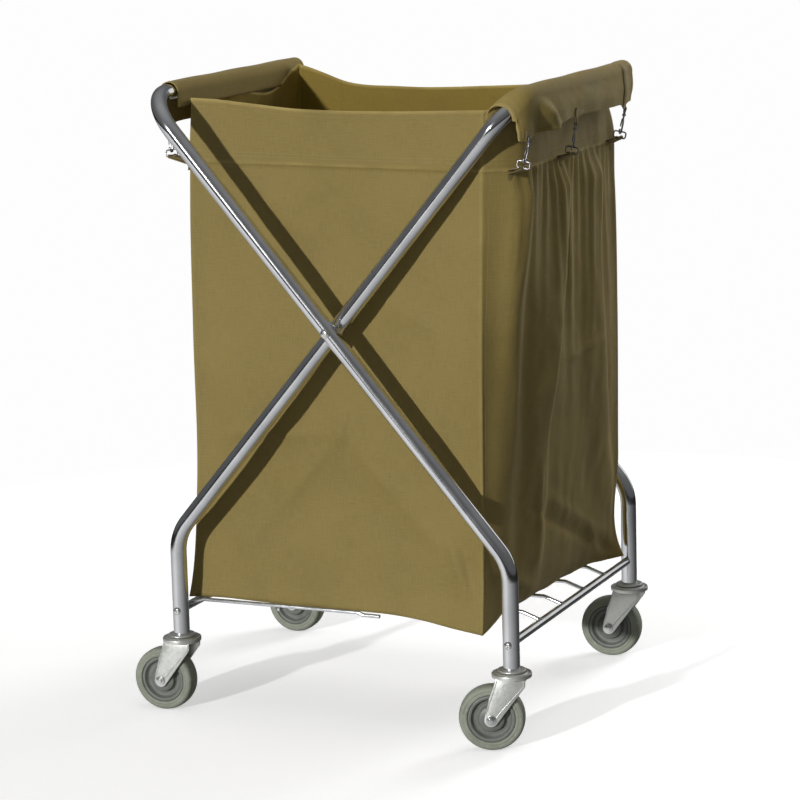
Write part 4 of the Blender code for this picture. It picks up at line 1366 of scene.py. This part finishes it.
def studio_world():
    """A soft grey room for light, plain white for the camera, and dark and light bands for shiny things."""
    world = bpy.data.worlds.new("studio")
    bpy.context.scene.world = world
    world.use_nodes = True
    tree = world.node_tree
    tree.nodes.clear()
    link = tree.links.new

    def node(kind, operation=None, **sockets):
        made = tree.nodes.new("ShaderNode" + kind)
        if operation:
            made.operation = operation
        for socket, value in sockets.items():
            made.inputs[socket.replace("_", " ")].default_value = value
        return made

    def halved(value):
        """A value from -1 to 1 brought to 0 to 1."""
        made = node("Math", "MULTIPLY_ADD")
        made.inputs[1].default_value = 0.5
        made.inputs[2].default_value = 0.5
        link(value, made.inputs[0])
        return made.outputs[0]

    def graded(factor, *stops):
        made = node("ValToRGB")
        elements = made.color_ramp.elements
        while len(elements) < len(stops):
            elements.new(0.5)
        for element, (position, grey) in zip(elements, stops):
            element.position = position
            element.color = (grey, grey, grey, 1.0)
        link(factor, made.inputs["Fac"])
        return made.outputs["Color"]

    def chosen(factor, a, b):
        made = node("MixShader")
        for socket, value in zip(made.inputs, (factor, a, b)):
            link(value, socket)
        return made.outputs[0]

    place = node("TexCoord").outputs["Generated"]
    parts = node("SeparateXYZ")
    link(place, parts.inputs[0])
    upwards = parts.outputs[2]
    height = halved(upwards)

    room = node("Background", Strength=0.27)
    ceiling = graded(height, (0.0, 0.30), (0.49, 0.12), (0.60, 0.12), (0.78, 0.40), (1.0, 0.80))
    link(ceiling, room.inputs["Color"])

    level = node("VectorMath", "MULTIPLY")
    level.inputs[1].default_value = (1.0, 1.0, 0.0)
    link(place, level.inputs[0])
    unit = node("VectorMath", "NORMALIZE")
    link(level.outputs[0], unit.inputs[0])
    towards = node("VectorMath", "DOT_PRODUCT")
    towards.inputs[1].default_value = (-0.64, -0.77, 0.0)
    link(unit.outputs[0], towards.inputs[0])
    above = graded(height, (0.0, 0.02), (0.475, 0.015), (0.50, 0.095), (0.75, 0.13), (1.0, 0.30))
    below = graded(halved(towards.outputs["Value"]), (0.0, 0.06), (0.20, 0.20), (0.50, 0.36), (0.73, 0.50),
                   (0.90, 0.62), (1.0, 0.88))
    edge = node("MapRange", From_Min=-0.185, From_Max=-0.225)
    link(upwards, edge.inputs["Value"])
    bands = node("MixRGB")
    for socket, value in zip(bands.inputs, (edge.outputs[0], above, below)):
        link(value, socket)
    mirrored = node("Background")
    link(bands.outputs[0], mirrored.inputs["Color"])

    white = node("Background", Color=(1.0, 1.0, 1.0, 1.0))
    path = node("LightPath").outputs
    unseen = chosen(path["Is Glossy Ray"], room.outputs[0], mirrored.outputs[0])
    link(chosen(path["Is Camera Ray"], unseen, white.outputs[0]), node("OutputWorld").inputs["Surface"])


def camera():
    """Long lens from the front right, a little above the bag's mouth."""
    data = bpy.data.cameras.new("camera")
    data.sensor_width = 36.0
    data.lens = 134.8
    data.clip_end = 200.0
    ob = shown("camera", data)
    turn = math.radians(23.612)
    tilt = math.radians(10.945)
    roll = math.radians(-1.559)
    ob.location = MIDDLE + Vector((1.8641, -4.2728, 1.3683))
    ob.rotation_euler = (Matrix.Rotation(turn, 3, "Z") @ Matrix.Rotation(math.pi / 2 - tilt, 3, "X")
                         @ Matrix.Rotation(roll, 3, "Z")).to_euler()
    bpy.context.scene.camera = ob


stage_floor()
studio_world()
camera()
distant_light("key_light", (-0.221, -0.941, 0.258), 2.45, 2.0)
soft_box("top_light", (0.15, 0.1, 1.0), 3.0, (2.6, 2.6), 26)
soft_box("right_rim", (0.40, 0.87, 0.26), 3.0, (1.0, 1.8), 44)
soft_box("back_card", (0.40, 0.87, 0.26), 3.1, (1.4, 2.0), 7).visible_glossy = True
soft_box("front_fill", (0.45, -0.85, 0.20), 3.2, (1.6, 1.6), 4)
soft_box("window", (-0.20, -0.93, 0.16), 3.4, (0.30, 2.4), 2.2).visible_glossy = True

bpy.context.scene.view_settings.view_transform = "Standard"
bpy.context.scene.view_settings.look = "None"
